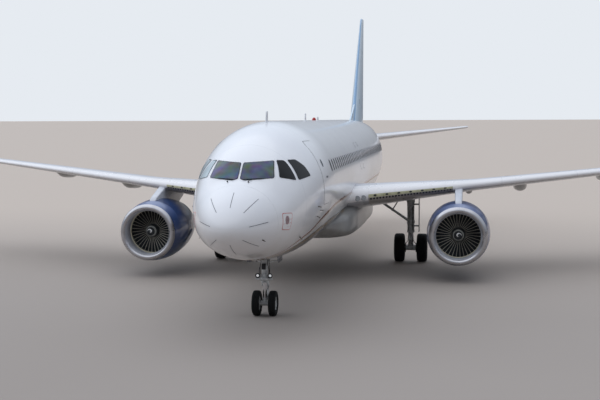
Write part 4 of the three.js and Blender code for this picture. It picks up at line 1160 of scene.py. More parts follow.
# Columns: centre on the way round, half height, pitch in metres, share of the pitch that is open.
for centre, half, pitch, open_share in ((0.015, 0.028, 0.42, 0.13), (-0.075, 0.032, 0.11, 0.36)):
    cell = add("Math", [out, pitch], operation="DIVIDE")
    cell = add("Math", [cell], operation="FRACT")
    cell = add("Math", [cell, 1 / open_share, -0.5 / open_share], operation="MULTIPLY_ADD")
    high = add("Math", [across, 1 / half, -centre / half], operation="MULTIPLY_ADD")
    both = add("CombineXYZ", [cell, high])
    far = add("VectorMath", [both], operation="LENGTH").outputs["Value"]
    holes.append((add("Math", [far, 1.0], operation="LESS_THAN"), "#17181a"))
# The slat's top takes the same painted highlight white.
painted_top = add("Math", [across, 0.055], operation="GREATER_THAN")
bare = add("Math", [across, -0.035], operation="LESS_THAN")
overpainted(SLAT_PRIMER, (painted_top, PAINTED_HIGHLIGHT_WHITE), (bare, "#a8a19c"), *holes)
print("wing finishes", WING_PAINT.name, SLAT_PRIMER.name)

# %% Wings
AILERON_ENDS = 12.7, 15.9
AILERON = [on_wing(x, 0.74, 0.075) for x in AILERON_ENDS]
AILERON_RADII = [0.235 * straight_through(WING, x)[4] for x in AILERON_ENDS]
# Columns: name, inner and outer end, shares of the chord at the hinge and the rear edge, panels.
SPOILERS = [("inner", 3.3, 6.0, 0.7, 0.82, 1), ("outer", 6.7, 12.2, 0.66, 0.8, 4)]
SPOILER_DEPTH, POCKET, PANEL_GAP = 0.026, 0.015, 0.016
SLAT = {"from": 2.5, "to": 5.25, "share": 0.13}


def slat_block(grow):
    """The space ahead of the slat line, between body and pylon."""
    bm = block((SLAT["from"] - grow, -1, -0.9), (SLAT["to"] + grow, 0, 0.9))
    for vert in bm.verts:
        line, tip = on_wing(vert.co.x, SLAT["share"]), on_wing(vert.co.x, 0)
        vert.co.y = line.y + grow if vert.co.y > -0.5 else tip.y - 0.5
        vert.co.z += tip.z
    return bm


root_x, kink_x, tip_x = (row[0] for row in WING)
wing = foil_skin(evenly(root_x, kink_x, 12) + evenly(kink_x, tip_x, 24)[1:], on_wing, AEROFOIL)
both_sides("inboard_slat_skin", carved(wing.copy(), slat_block(0), "INTERSECT"), SLAT_PRIMER, "airframe",
           ["inboard_slat_"])
aileron, wing = hinged(wing, *AILERON, AILERON_RADII)
both_sides("aileron_skin", aileron, WING_PAINT, "aileron_", ["aileron_"])
pockets = [slat_block(0.002)]
for name, start, end, front, rear, panels in SPOILERS:
    pitch = (end - start) / panels
    leaves = [laid(rectangle(start + pitch * k + (PANEL_GAP / 2 if k else 0), 4 * front,
                             start + pitch * (k + 1) - (PANEL_GAP / 2 if k < panels - 1 else 0), 4 * rear),
                   wing_top, 0.0, SPOILER_DEPTH) for k in range(panels)]
    line = [wing_top(x, 4 * front, -0.016) + Vector((0, 0.018, 0)) for x in (start, end)]
    both_sides(f"{name}_spoiler_panels", joined(*leaves, rod(*line, 0.012)), WING_PAINT, f"{name}_spoiler_",
               [f"{name}_spoiler_"])
    pockets.append(laid(rectangle(start, 4 * front, end, 4 * rear, POCKET), wing_top,
                        0.05, 0.05 + SPOILER_DEPTH + POCKET))
wing = carved(painted(wing, 0), painted(joined(*pockets), 1))
# The primer carries on past the slat's end up to the pylon.
PRIMER_END = 5.54
for face in wing.faces:
    middle = face.calc_center_median()
    ahead_of_line = middle.y < on_wing(middle.x, SLAT["share"]).y
    if SLAT["to"] < middle.x < PRIMER_END and ahead_of_line and face.material_index == 0:
        face.material_index = 2
both_sides("wing_skin", wing, [WING_PAINT, INSIDE, SLAT_PRIMER], "airframe", ["wing_"],
           corner=30)
print("spoiler panels a side", sum(row[5] for row in SPOILERS))

# %% [markdown]
# Each wing ends in an arrow-shaped fence that stands above and below the tip and weakens the tip vortex.
# Under the trailing edge, boat-shaped fairings cover the flap tracks, and a small pad takes the wing jack.

# %% Fences, track fairings and jack pads
FENCE = [(19.83, 4.235), (20.95, 5.01), (21.43, 5.06), (21.35, 4.215), (21.33, 3.48), (20.90, 3.52)]
both_sides("wing_tip_fence", plate(FENCE, 16.98, 17.05, corner=0.05, edge=0.03), WING_PAINT)
# Columns: X, share of the chord where it starts, overhang behind the wing, half width, depth.
TRACK_FAIRINGS = [(6.15, 0.62, 0.42, 0.15, 0.33), (8.22, 0.34, 1.15, 0.25, 0.44),
                  (11.67, 0.32, 1.1, 0.23, 0.38)]
TRACK_RING, TRACK_ROWS = 28, 24
# Columns: share of the length, share of the width, share of the depth.
FAIRING_RINGS = [(0, 0.02, 0.02), (0.12, 0.6, 0.5), (0.35, 1, 0.95), (0.6, 1, 1), (0.85, 0.72, 0.78),
                 (1, 0.04, 0.1)]


def track_fairing(row):
    x, share, overhang, half_width, depth = row
    front, back = on_wing(x, share, -0.25), on_wing(x, 1, 0)
    end = back.y + overhang

    def place(i, j):
        along = j / TRACK_ROWS
        wide, deep = smooth_through(FAIRING_RINGS, along)
        at = front.y + along * (end - front.y)
        way = min(1, (at - front.y) / (back.y - front.y))
        top = front.z + 0.06 + (back.z - front.z - 0.06) * way - 0.03 * along
        angle = 2 * math.pi * (i % TRACK_RING) / TRACK_RING
        return Vector((x + half_width * wide * math.cos(angle), at,
                       top - depth * deep / 2 + math.sin(angle) * depth * deep / 2))
    return bent_grid(TRACK_RING, TRACK_ROWS, place)


both_sides("flap_track_fairings", joined(*(track_fairing(row) for row in TRACK_FAIRINGS)), FAIRING_GREY)
both_sides("wing_jack_pad", rod((6.9, aft(17), 3.35), (6.9, aft(17), 3.15), 0.075), STRIP)
print("track fairings a side", len(TRACK_FAIRINGS))

# %% [markdown]
# The fin is light blue, deeper towards its root, and a low dorsal fin leads into it from the crown. A
# deeper blue strip along its leading edge is painted shade. The tailplane has the wing's grey. The rudder
# and the elevators are cut from the same skins.

# %% Fin and tailplane
FIN_PAINT = mottled("light_blue_topcoat_on_fin", 0.9, "#d2e2f0", "#deeaf4", shine=(0.26, 0.34),
                    Coat_Weight=0.5, Coat_Roughness=0.1)
add = partial(add_node, FIN_PAINT.node_tree)
place = add("TexCoord").outputs
height = add("SeparateXYZ", [place["Object"]]).outputs["Z"]
fade = add("MapRange", [height, 11.5, 5.8, 0.0, 0.5])
# A deeper blue strip along the leading edge: painted shade.
edge = add("SeparateXYZ", [place["UV"]]).outputs["X"]
edge = add("Math", [edge, 0.494, 0.06], operation="COMPARE")
overpainted(FIN_PAINT, (fade, "#b6d6ec"), (edge, "#8fb4d8"))
RUDDER_ENDS, ELEVATOR_ENDS = (6.05, 11.48), (1.3, 6.06)
fin = foil_skin(evenly(FIN[0][0], FIN[2][0], 24) + [row[0] for row in FIN[3:]], on_fin, TAIL_FOIL)
rudder, fin = hinged(fin, on_fin(RUDDER_ENDS[0], 0.7), on_fin(RUDDER_ENDS[1], 0.66),
                     [0.29 * straight_through(FIN, height)[2] for height in RUDDER_ENDS])
dorsal = plate([(29.7, 5.85), (32.1, 6.76), (32.5, 5.7), (30.5, 5.7)], -0.045, 0.045, edge=0.03)
piece("fin_skin", joined(fin, dorsal), FIN_PAINT, "airframe", ["fin"])
piece("rudder_skin", rudder, FIN_PAINT, "rudder", ["rudder"])
spans = evenly(TAILPLANE[0][0], TAILPLANE[1][0], 20) + [row[0] for row in TAILPLANE[2:]]
tailplane = foil_skin(spans, on_tailplane, TAIL_FOIL)
elevator, tailplane = hinged(tailplane, *(on_tailplane(x, 0.7) for x in ELEVATOR_ENDS),
                             [0.27 * straight_through(TAILPLANE, x)[3] for x in ELEVATOR_ENDS])
both_sides("tailplane_skin", tailplane, WING_PAINT, "airframe", ["tailplane_"])
both_sides("elevator_skin", elevator, WING_PAINT, "elevator_", ["elevator_"])
print("fin", round(FIN[-1][0] - FIN[0][0], 2), "m tall")

# %% [markdown]
# The engines are turbofans in deep blue cowls. Under a clear coat the blue mirrors the bright sky on top
# and the brown apron below, so it needs almost no pattern of its own, only the seams between the fan cowl,
# the reverser and the inlet. The top of the inlet is painted a paler blue, a painted reflection of the
# bright sky. The inlet lip is one ring of aluminium, spun and polished, since an edge that carries ice
# protection can't be painted. Behind it the barrel is lined with grey perforated sheet.

# %% Engine finishes
AXIS = Vector((5.75, aft(11.85), 1.705))
# Distances of the two seams behind the front of the lip.
INLET_SEAM, COWL_SEAM = 0.80, 1.95
COWL_BLUE = mottled("deep_blue_topcoat_on_cowl", 1.2, "#0f3468", "#153e76", shine=(0.4, 0.5),
                    Coat_Weight=0.6, Coat_Roughness=0.04)
add = partial(add_node, COWL_BLUE.node_tree)
place = add("TexCoord").outputs["Object"]
at = add("SeparateXYZ", [place]).outputs
inlet_seam = add("Math", [at["Y"], AXIS.y + INLET_SEAM, 0.006], operation="COMPARE")
cowl_seam = add("Math", [at["Y"], AXIS.y + COWL_SEAM, 0.007], operation="COMPARE")
inlet = add("Math", [at["Y"], AXIS.y + INLET_SEAM], operation="LESS_THAN")
# The paler top of the inlet is a painted reflection of the sky.
inlet_sky_reflection = add("MapRange", [at["Z"], 2.2, 2.7, 0.0, 0.42])
inlet_sky_reflection = add("Math", [inlet_sky_reflection, inlet], operation="MULTIPLY")
overpainted(COWL_BLUE, (inlet_sky_reflection, "#8597c8"), (inlet_seam, "#0b1428"), (cowl_seam, "#0b1428"))
waves = add("TexNoise", {"Vector": place, "Scale": 2.2, "Detail": 1.5}).outputs["Fac"]
embossed(COWL_BLUE, waves, 0.35, 0.02, "Coat Normal")

# Spinning and polishing leave the metal bright but not quite mirror smooth.
LIP_METAL = mottled("spun_and_polished_aluminium_lip", 3.0, "#b4b3b6", "#c6c5c8", shine=(0.24, 0.34),
                    Metallic=1.0)
# Perforated sheet reads as an even dull grey, with a fine grain near by.
LINER = mottled("perforated_grey_barrel_liner", 2.0, "#9c9ea5", "#b3b5bb", shine=(0.4, 0.5))
add = partial(add_node, LINER.node_tree)
place = add("TexCoord").outputs["Object"]
holes = add("TexVoronoi", {"Vector": place, "Scale": 120.0}).outputs["Distance"]
embossed(LINER, holes, 0.3, 0.002)
# A pale resin ring with a bevelled front edge closes the barrel. The lining that the blade tips may rub on
# is nearly black: partly the lining's own dark colour, partly painted shade round the fan.
RUB_STRIP = mottled("beige_resin_ring_ahead_of_the_fan", 6.0, "#c4bda4", "#ddd6bd", shine=(0.6, 0.7))
DARK_LINING = mottled("abradable_lining_dark_with_painted_shade", 6.0, "#303132", "#444546", shine=(0.6, 0.7))
# The titanium blades are painted nearly black, painted shade for the barrel's shadow. Their front edges are
# painted pale: wear that is bare, with a painted highlight.
BLADE_METAL = mottled("forged_titanium_fan_blade", 4.0, "#303335", "#46494b", shine=(0.35, 0.45),
                      Metallic=0.3)
add = partial(add_node, BLADE_METAL.node_tree)
edge = add("SeparateXYZ", [add("TexCoord").outputs["UV"]]).outputs["X"]
# Pale front edges: wear with a painted highlight.
worn_and_lit_edge = add("Math", [edge, 0.46, 0.16], operation="COMPARE")
overpainted(BLADE_METAL, (worn_and_lit_edge, "#dcd8cd"))
# Heat has turned the nozzle and plug straw, brown and blue in bands along the flow.
HOT_METAL = mottled("heat_stained_nozzle_alloy", 5.0, "#5c5349", "#7d7266", shine=(0.35, 0.5), Metallic=0.9)
add = partial(add_node, HOT_METAL.node_tree)
place = add("TexCoord").outputs["Object"]
bands = add("TexWave", {"Vector": place, "Scale": 0.55, "Distortion": 2.0}, bands_direction="Y")
stain = add("Math", [bands.outputs["Fac"], 0.45], operation="MULTIPLY")
overpainted(HOT_METAL, (stain, "#5a5f7a"))
PYLON_GREY = mottled("grey_topcoat_on_pylon", 2.0, "#b7bac3", "#d3d6dd", shine=(0.3, 0.4), Coat_Weight=0.3)
print("engine finishes", COWL_BLUE.name, LIP_METAL.name, HOT_METAL.name)

# %% [markdown]
# The spinner is black with a white comma, so that people near by see at once when the fan turns, and a bare
# metal band runs round it. The comma is painted by angle and radius about the engine's axis: its edge moves
# round as the radius grows.

# %% Spinner finish
SPINNER_PAINT = mottled("black_spinner_enamel_with_comma", 6.0, "#232527", "#34373a", shine=(0.3, 0.4))
add = partial(add_node, SPINNER_PAINT.node_tree)
at = add("SeparateXYZ", [add("TexCoord").outputs["Object"]]).outputs
out = add("Math", [at["X"]], operation="ABSOLUTE")
out = add("Math", [out, AXIS.x], operation="SUBTRACT")
high = add("Math", [at["Z"], AXIS.z], operation="SUBTRACT")
from_axis = add("CombineXYZ", [out, high])
radius = add("VectorMath", [from_axis], operation="LENGTH").outputs["Value"]
angle = add("Math", [high, out], operation="ARCTAN2")
turns = add("Math", [angle, 0.5 / math.pi, 0.45], operation="MULTIPLY_ADD")
turns = add("Math", [radius, 5.0, turns], operation="MULTIPLY_ADD")
turns = add("Math", [turns, 1.0, 0.0], operation="WRAP")
wide = add("MapRange", [radius, 0.02, 0.12, 0.42, 0.10])
comma = add("Math", [turns, wide], operation="LESS_THAN")
ring = add("Math", [radius, 0.072, 0.046], operation="COMPARE")
comma = add("Math", [comma, ring], operation="MULTIPLY")
band = add("Math", [radius, 0.182, 0.022], operation="COMPARE")
overpainted(SPINNER_PAINT, (band, "#a3a49e"), (comma, "#e8e8e6"))
print("engine axis", [round(c, 3) for c in AXIS])

# %% [markdown]
# Everything round on the engine is a profile of radii and distances spun about its axis. The lip's profile
# is half an ellipse, blunt enough for air to come in from the side. Only its front is bare: the faces
# farther back take the blue outside and the liner's grey inside. The cowl and the barrel are closed skins
# with a thickness, and smooth curves pass through their tables.

# %% Cowls
BACK = Vector((0, 1, 0))
# Radius of the lip's front edge, half its thickness, and its length.
LIP_RADIUS, LIP_HALF, LIP_LONG = 0.934, 0.138, 0.268
lip = [(LIP_RADIUS + LIP_HALF * math.cos(turn), LIP_LONG - LIP_LONG * math.sin(turn))
       for turn in evenly(0, math.pi, 36)]
ring = painted(turned(lip, AXIS, BACK, steps=112, closed=True), 0)
for face in ring.faces:
    middle = face.calc_center_median() - AXIS
    around = math.hypot(middle.x, middle.z)
    if middle.y > 0.055 and around < LIP_RADIUS:
        face.material_index = 1
    elif middle.y > 0.125:
        face.material_index = 2
both_sides("inlet_lip_ring", ring, [LIP_METAL, LINER, COWL_BLUE], "airframe", ["inlet_lip_"])
# Columns: distance aft of the lip, radius.
OUTER_COWL = [(0.27, 1.073), (0.8, 1.137), (1.5, 1.168), (2.5, 1.11), (3.35, 0.985)]
DUCT = [(0.27, 0.796), (0.45, 0.812), (0.66, 0.842), (0.8, 0.85), (1.08, 0.85), (1.3, 0.86), (2.2, 0.905),
        (3.34, 0.968)]


def along_table(rows, start, end, count):
    """Points of radius and distance on the smooth curve through a table."""
    return [(smooth_through(rows, along)[0], along) for along in evenly(start, end, count)]


def wall(rows, start, end, thick, count=30):
    """A closed profile along a table, with its thickness added inwards (negative) or outwards."""
    face = along_table(rows, start, end, count)
    return face + [(radius + thick, along) for radius, along in reversed(face)]


cowl = turned(wall(OUTER_COWL, 0.272, 3.35, -0.016), AXIS, BACK, steps=112, closed=True)
# Columns: start, end, finish.
DUCT_PARTS = [(0.272, 0.64, 1), (0.69, 1.10, 3), (1.10, 3.34, 1)]
duct = [painted(turned(wall(DUCT, start, end, 0.01, 12), AXIS, BACK, steps=96, closed=True), finish)
        for start, end, finish in DUCT_PARTS]
resin = [(0.855, 0.64), (0.838, 0.64), (0.809, 0.662), (0.809, 0.69), (0.855, 0.69)]
duct.append(painted(turned(resin, AXIS, BACK, steps=96, closed=True), 2))
both_sides("nacelle_skin", joined(painted(cowl, 0), *duct), [COWL_BLUE, LINER, RUB_STRIP, DARK_LINING],
           "airframe", ["nacelle_"])
print("cowl", OUTER_COWL[-1][0], "m long")

# %% [markdown]
# A fan blade is a thin cambered aerofoil that twists from its root to its tip, because its tip moves three
# times as fast. One blade is made as a bent grid, and a spin with duplicates sets the others round the hub.

# %% Fan
BLADES, BLADE_MIDDLE, BLADE_RING, BLADE_ROWS = 36, 0.88, 25, 8
# Columns: radius, chord, thickness, angle from the axis in degrees.
BLADE = [(0.235, 0.165, 0.020, 34), (0.45, 0.170, 0.013, 46), (0.835, 0.190, 0.007, 61)]


def on_blade(i, j):
    """A point of the blade that stands upright on the hub."""
    radius = BLADE[0][0] + (BLADE[-1][0] - BLADE[0][0]) * j / BLADE_ROWS
    chord, thick, degrees = smooth_through(BLADE, radius)
    way_round = (i % BLADE_RING) / BLADE_RING
    root = abs(1 - 2 * way_round)
    along = root * root - 0.5
    side = (0.5 if way_round < 0.5 else -0.5) * math.sin(math.pi * min(1, root)) * thick
    camber = 0.10 * chord * (1 - 4 * along * along)
    turn = math.radians(degrees)
    return Vector((along * chord * math.sin(turn) + (side - camber) * math.cos(turn),
                   BLADE_MIDDLE + along * chord * math.cos(turn) - (side - camber) * math.sin(turn), radius))


def ring_of(bm, count):
    """Copies of an upright part, set evenly round the engine's axis."""
    bmesh.ops.spin(bm, geom=bm.verts[:] + bm.edges[:] + bm.faces[:], cent=(0, 0, 0), axis=(0, 1, 0),
                   dvec=(0, 0, 0), angle=2 * math.pi * (count - 1) / count, steps=count - 1,
                   use_duplicate=True)
    return moved(bm, AXIS)


blades = ring_of(bent_grid(BLADE_RING, BLADE_ROWS, on_blade), BLADES)
# Columns: share of the spinner's steps, radius.
SPINNER = [(0, 0), (0.2, 0.110), (0.45, 0.205), (0.75, 0.258), (1, 0.268)]
nose_cone = [(radius, 0.40 + 0.6 * way ** 1.5) for radius, way in along_table(SPINNER, 0, 1, 16)]
hub = joined(painted(turned(nose_cone + [(0, 1.0)], AXIS, BACK, steps=64), 1),
             painted(rod(AXIS + 0.99 * BACK, AXIS + 1.5 * BACK, 0.06), 0))
both_sides("fan_rotor", joined(painted(blades, 0), hub), [BLADE_METAL, SPINNER_PAINT], "fan_", ["fan_"])
print("fan blades", BLADES)

# %% [markdown]
# Behind the fan stand the outlet vanes, then the core's cowl, the hot nozzle and the plug. From ahead only
# the vanes glint between the blades; from behind the nozzle and plug fill the view.

# %% Core and pylon
CORE_COWL = [(1.04, 0.40), (1.6, 0.54), (2.3, 0.63), (3.0, 0.60), (4.0, 0.47)]
PLUG = [(3.75, 0.33), (3.9, 0.32), (4.35, 0.20), (4.62, 0.07), (4.7, 0.0)]
core = [(0, CORE_COWL[0][0])] + along_table(CORE_COWL, CORE_COWL[0][0], CORE_COWL[-1][0], 28)
core += [(0.452, 4.0), (0.425, 3.85), (0.40, 3.6), (0.33, 3.6)]
core += along_table(PLUG, PLUG[0][0], PLUG[-1][0], 14)
core = turned(core, AXIS, BACK, steps=80)
core = carved(core, rod(AXIS + 0.9 * BACK, AXIS + 1.52 * BACK, 0.062))
VANES = 32
vanes = ring_of(block((-0.007, 1.33, 0.45), (0.007, 1.48, 0.866), 0.005), VANES)
both_sides("core_and_vanes", joined(painted(core, 0), painted(vanes, 1)), [HOT_METAL, LINER], "airframe",
           ["core_engine_"])
PYLON = [(12.45, 2.72), (12.75, 2.94), (14.15, 3.33), (15.0, 3.42), (16.9, 3.2), (17.3, 3.0), (16.0, 2.56),
         (15.3, 2.15), (14.6, 2.15)]
pylon = plate(PYLON, AXIS.x - 0.15, AXIS.x + 0.15, corner=0.12, edge=0.05)
for vert in pylon.verts:
    forward = min(1, max(0, (vert.co.y - aft(PYLON[0][0])) / 1.5))
    vert.co.x = AXIS.x + (vert.co.x - AXIS.x) * (0.7 + 0.3 * math.sqrt(forward))
both_sides("pylon_skin", pylon, PYLON_GREY, "airframe", ["pylon_"])
print("outlet vanes", VANES)

# %% [markdown]
# The landing gear is enamelled steel with chromed pistons, and it is the dirtiest part of the aircraft:
# grease and brake dust darken the enamel in patches. Tyres are black rubber, with straight grooves round
# the tread and no blocks. The nose lamps' glass glows a little, a painted highlight for the glint on it.

# %% Gear finishes
GEAR_PAINT = mottled("greasy_grey_enamel_on_gear", 9.0, "#9d9e9f", "#dcdcda", shine=(0.5, 0.35),
                     Coat_Weight=0.2)
CHROME = mottled("hard_chromed_piston", 6.0, "#b0b0b2", "#cbcbcd", shine=(0.07, 0.14), Metallic=1.0)
BLACK_STEEL = mottled("oily_black_steel", 14.0, "#141517", "#292a2d", shine=(0.3, 0.5), Metallic=0.3)
WHEEL_PAINT = mottled("brake_dusted_wheel_enamel", 11.0, "#8c8d8e", "#cbcbc9", shine=(0.55, 0.4))
TYRE_RUBBER = mottled("scuffed_tyre_rubber", 7.0, "#0c0d0e", "#191a1b", shine=(0.75, 0.9), bump=0.002,
                      Specular_IOR_Level=0.25)
LAMP_GLASS_WITH_GLINT = mottled("fluted_lamp_glass_with_painted_glint", 30.0, "#dfe5ea", "#ffffff", shine=(0.05, 0.12),
                     Emission_Strength=0.3)
# The glow of the lamp glass is a painted highlight.
sockets = LAMP_GLASS_WITH_GLINT.node_tree.nodes[SHADER].inputs
LAMP_GLASS_WITH_GLINT.node_tree.links.new(sockets["Base Color"].links[0].from_socket, sockets["Emission Color"])
# The landing lights are off, so their glass only mirrors the sky.
DULL_GLASS = mottled("unlit_lamp_glass", 30.0, "#8e9499", "#c3c8cc", shine=(0.05, 0.12), Metallic=0.4)
print("gear finishes", GEAR_PAINT.name, CHROME.name, TYRE_RUBBER.name)

# %% [markdown]
# A wheel is two cast halves with a dished outer face, a flange that holds the tyre's bead, holes that let
# the brake's heat out and a hub cap over the bearing. A tyre's section bulges below its shoulders and runs
# nearly flat across the tread, with four grooves. Both are profiles spun about the axle.

# %% Wheels and tyres
OUTWARD = Vector((1, 0, 0))


def rim_of(half, radius, holes):
    """A wheel at the origin with its dished face towards +X."""
    profile = [(0, -0.62), (0.55, -0.62), (0.80, -0.50), (0.90, -0.62), (1.05, -0.68), (1.05, -0.60),
               (0.985, -0.55), (0.985, 0.55), (1.05, 0.60), (1.05, 0.68), (0.93, 0.66), (0.87, 0.42),
               (0.78, 0.12), (0.66, 0.02), (0.52, 0.08), (0.40, 0.30), (0.36, 0.62), (0.30, 0.76),
               (0.10, 0.80), (0, 0.80)]
    rim = turned([(r * radius, along * half) for r, along in profile], (0, 0, 0), OUTWARD, steps=64)
    places = [Vector((0, *point)) for point in oval(0, 0, 0.7 * radius, 0.7 * radius, holes)]
    cutters = [rod(at - half * OUTWARD, at + half * OUTWARD, 0.085 * radius, steps=16) for at in places]
    bolts = [rod(at * 0.62, at * 0.62 + 0.24 * half * OUTWARD, 0.04 * radius, steps=8) for at in places]
    return joined(carved(rim, joined(*cutters)), *bolts)


def tyre_of(half, rim_radius, radius):
    """A tyre at the origin, standing on the rim and closed inside."""
    reach = radius - rim_radius
    # Columns: way up the side, half width, height over the rim.
    side = [(0, 0.62, 0.0), (0.18, 0.80, 0.10), (0.45, 1.0, 0.42), (0.7, 0.97, 0.70), (0.88, 0.86, 0.89),
            (1, 0.66, 0.972)]
    points = [tuple(smooth_through(side, way)) for way in evenly(0, 1, 12)]
    for centre in (0.42, 0.14):
        points += [(centre + 0.03, 0.99), (centre + 0.025, 0.94), (centre - 0.025, 0.94),
                   (centre - 0.03, 0.995)]
    points += [(-wide, high) for wide, high in reversed(points)]
    profile = [(rim_radius + high * reach, wide * half) for wide, high in points]
    return turned(profile, (0, 0, 0), OUTWARD, steps=72, closed=True)


def pair_of(bm, centre, track):
    """The wheel or tyre at both ends of an axle."""
    other = mirrored(bm)
    return moved(bm, centre + track * OUTWARD), moved(other, centre - track * OUTWARD)


NOSE_AXLE = Vector((0, aft(5.07), 0.381))
MAIN_AXLE = Vector((3.795, aft(17.71), 0.584))
NOSE_TRACK, MAIN_TRACK = 0.250, 0.463
rims = pair_of(rim_of(0.112, 0.200, 8), NOSE_AXLE, NOSE_TRACK)
axle = rod(NOSE_AXLE - NOSE_TRACK * OUTWARD, NOSE_AXLE + NOSE_TRACK * OUTWARD, 0.042)
piece("nose_wheel_rims", joined(*rims, axle), WHEEL_PAINT, "nose_wheels", ["nose_wheels"])
for side, tyre in zip(("left", "right"), pair_of(tyre_of(0.112, 0.201, 0.381), NOSE_AXLE, NOSE_TRACK)):
    piece(f"nose_gear_tyre_{side}", tyre, TYRE_RUBBER, "nose_wheels", [f"nose_tyre_{side}"])
rims = pair_of(rim_of(0.215, 0.265, 9), MAIN_AXLE, MAIN_TRACK)
axle = rod(MAIN_AXLE - MAIN_TRACK * OUTWARD, MAIN_AXLE + MAIN_TRACK * OUTWARD, 0.07)
both_sides("main_wheel_rims", joined(*rims, axle), WHEEL_PAINT, "main_wheels_", ["main_wheels_"])
for place, tyre in zip(("outer", "inner"), pair_of(tyre_of(0.215, 0.266, 0.584), MAIN_AXLE, MAIN_TRACK)):
    both_sides(f"main_gear_tyre_{place}", tyre, TYRE_RUBBER, "main_wheels_", [f"main_tyre_{place}_"])
print("wheelbase", round(MAIN_AXLE.y - NOSE_AXLE.y, 2), "m")

# %% [markdown]
# The nose leg is a cylinder that hangs from a cross tube and is held by a drag stay behind it. A collar
# round its foot turns the piston inside it through a pair of folding links. Across the front of the collar
# lies the steering cylinder. Two lamps look ahead, and steel pipes run down both sides.

# %% Nose gear
def at_nose(x, back, height):
    """A place across, behind the nose axle and above the ground."""
    return Vector((x, NOSE_AXLE.y + back, height))


# Columns: radius, height.
NOSE_CYLINDER = [
    (0, 1.26), (0.063, 1.26), (0.063, 1.012), (0.112, 1.012), (0.118, 1.03), (0.118, 1.045), (0.1, 1.06),
    (0.1, 1.075), (0.124, 1.08), (0.124, 1.19), (0.1, 1.2), (0.092, 1.24), (0.092, 1.55), (0.108, 1.57),
    (0.108, 1.70), (0.092, 1.72), (0.092, 2.18), (0.12, 2.22), (0.12, 2.38), (0.08, 2.47), (0, 2.47)]
enamelled = [turned(NOSE_CYLINDER, at_nose(0, 0, 0), (0, 0, 1))] + tubes(at_nose, [
    ((-0.329, 0, 2.3), (0.329, 0, 2.3), 0.06), ((0, 0.08, 1.66), (0, 0.40, 2.03), 0.038, 0.034),
    ((-0.09, 0.40, 2.03), (0.09, 0.40, 2.03), 0.05), ((-0.25, -0.13, 1.135), (0.25, -0.13, 1.135), 0.036),
    ((-0.10, -0.135, 1.135), (0.10, -0.135, 1.135), 0.060)])
for side in (1, -1):
    enamelled += tubes(at_nose, [((0.07 * side, 0.41, 2.04), (0.24 * side, 0.76, 2.44), 0.032, 0.028)])
    enamelled += tubes(at_nose, [((0.10 * side, 0.02, 1.62), (0.335 * side, 0.45, 1.62), 0.016),
                                 ((0.08 * side, -0.02, 1.24), (0.16 * side, -0.07, 1.24), 0.022),
                                 ((0.06 * side, 0.09, 1.52), (0.10 * side, 0.98, 1.95), 0.020)], steps=12)
black = [block(at_nose(-0.07, -0.15, 1.42), at_nose(0.05, -0.07, 1.60), 0.012),
         block(at_nose(-0.17, -0.03, 1.72), at_nose(-0.08, 0.07, 1.98), 0.012)]
lamp_shell = [(0, 0), (0.045, 0.0), (0.058, 0.012), (0.075, 0.104), (0.075, 0.11), (0.052, 0.11),
              (0.048, 0.10), (0, 0.10)]
lens = [(0, 0.0), (0.040, 0.0), (0.040, 0.006), (0.03, 0.012), (0, 0.015)]
lenses = []
for side in (1, -1):
    black.append(turned(lamp_shell, at_nose(0.19 * side, -0.06, 1.24), (0, -1, 0), steps=40))
    lenses.append(turned(lens, at_nose(0.19 * side, -0.158, 1.24), (0, -1, 0), steps=40))
    black.append(pipe([at_nose(0.09 * side, -0.075, 2.2), at_nose(0.125 * side, -0.08, 1.9),
                       at_nose(0.10 * side, -0.10, 1.6), at_nose(0.15 * side, -0.12, 1.40),
                       at_nose(0.12 * side, -0.14, 1.18)], 0.011))
    black.append(pipe([at_nose(0.12 * side, 0.03, 2.15), at_nose(0.11 * side, 0.05, 1.75),
                       at_nose(0.145 * side, 0.02, 1.45), at_nose(0.13 * side, 0.0, 1.2)], 0.009))
piece("nose_leg_enamelled", enamelled, GEAR_PAINT, "airframe", ["nose_leg"])
piece("nose_leg_fittings", black, BLACK_STEEL)
piece("nose_gear_lamps", lenses, LAMP_GLASS_WITH_GLINT)

bright = rod(at_nose(0, 0, 0.45), at_nose(0, 0, 1.245), 0.0615)
dull = tubes(at_nose, [((-0.12, 0, 0.381), (0.12, 0, 0.381), 0.08),
                       ((-0.05, 0.33, 0.76), (0.05, 0.33, 0.76), 0.024),
                       ((-0.15, -0.112, 0.381), (0.15, -0.112, 0.381), 0.026)])
foot = [(0, 0), (0.09, 0), (0.085, 0.06), (0.07, 0.12), (0.07, 0.15), (0, 0.15)]
dull += [turned(foot, at_nose(0, 0, 0.40), (0, 0, 1)),
         block(at_nose(-0.075, 0.03, 0.49), at_nose(0.075, 0.13, 0.60), 0.012),
         block(at_nose(-0.105, 0.03, 0.90), at_nose(0.105, 0.13, 0.985), 0.012),
         block(at_nose(-0.05, -0.11, 0.353), at_nose(0.05, 0, 0.409), 0.008)]
for side in (1, -1):
    dull += tubes(at_nose, [((0.07 * side, 0.11, 0.56), (0.025 * side, 0.33, 0.76), 0.028, 0.02),
                            ((0.025 * side, 0.33, 0.76), (0.095 * side, 0.11, 0.95), 0.02, 0.03)], steps=12)
piece("nose_piston", bright, CHROME, "nose_steering", ["nose_fork"])
piece("nose_fork_and_links", dull, GEAR_PAINT, "nose_steering", [])
print("nose gear parts", len(enamelled) + len(black) + len(lenses) + len(dull))

# %% [markdown]
# Each main leg leans a little and carries two wheels on one axle, with a brake beside each wheel. A side
# stay runs inboard to the body and holds it down, folding links keep the piston from turning, and a door
# on two struts closes over the leg when it is up.

# %% Main gear
top = Vector((3.795, aft(17.45), 2.99))


def on_leg(height):
    """The place on the main leg's own line at this height."""
    return MAIN_AXLE + (top - MAIN_AXLE) * (height - MAIN_AXLE.z) / (top.z - MAIN_AXLE.z)


def at_main(x, back, height):
    return MAIN_AXLE + Vector((x, back, height - MAIN_AXLE.z))


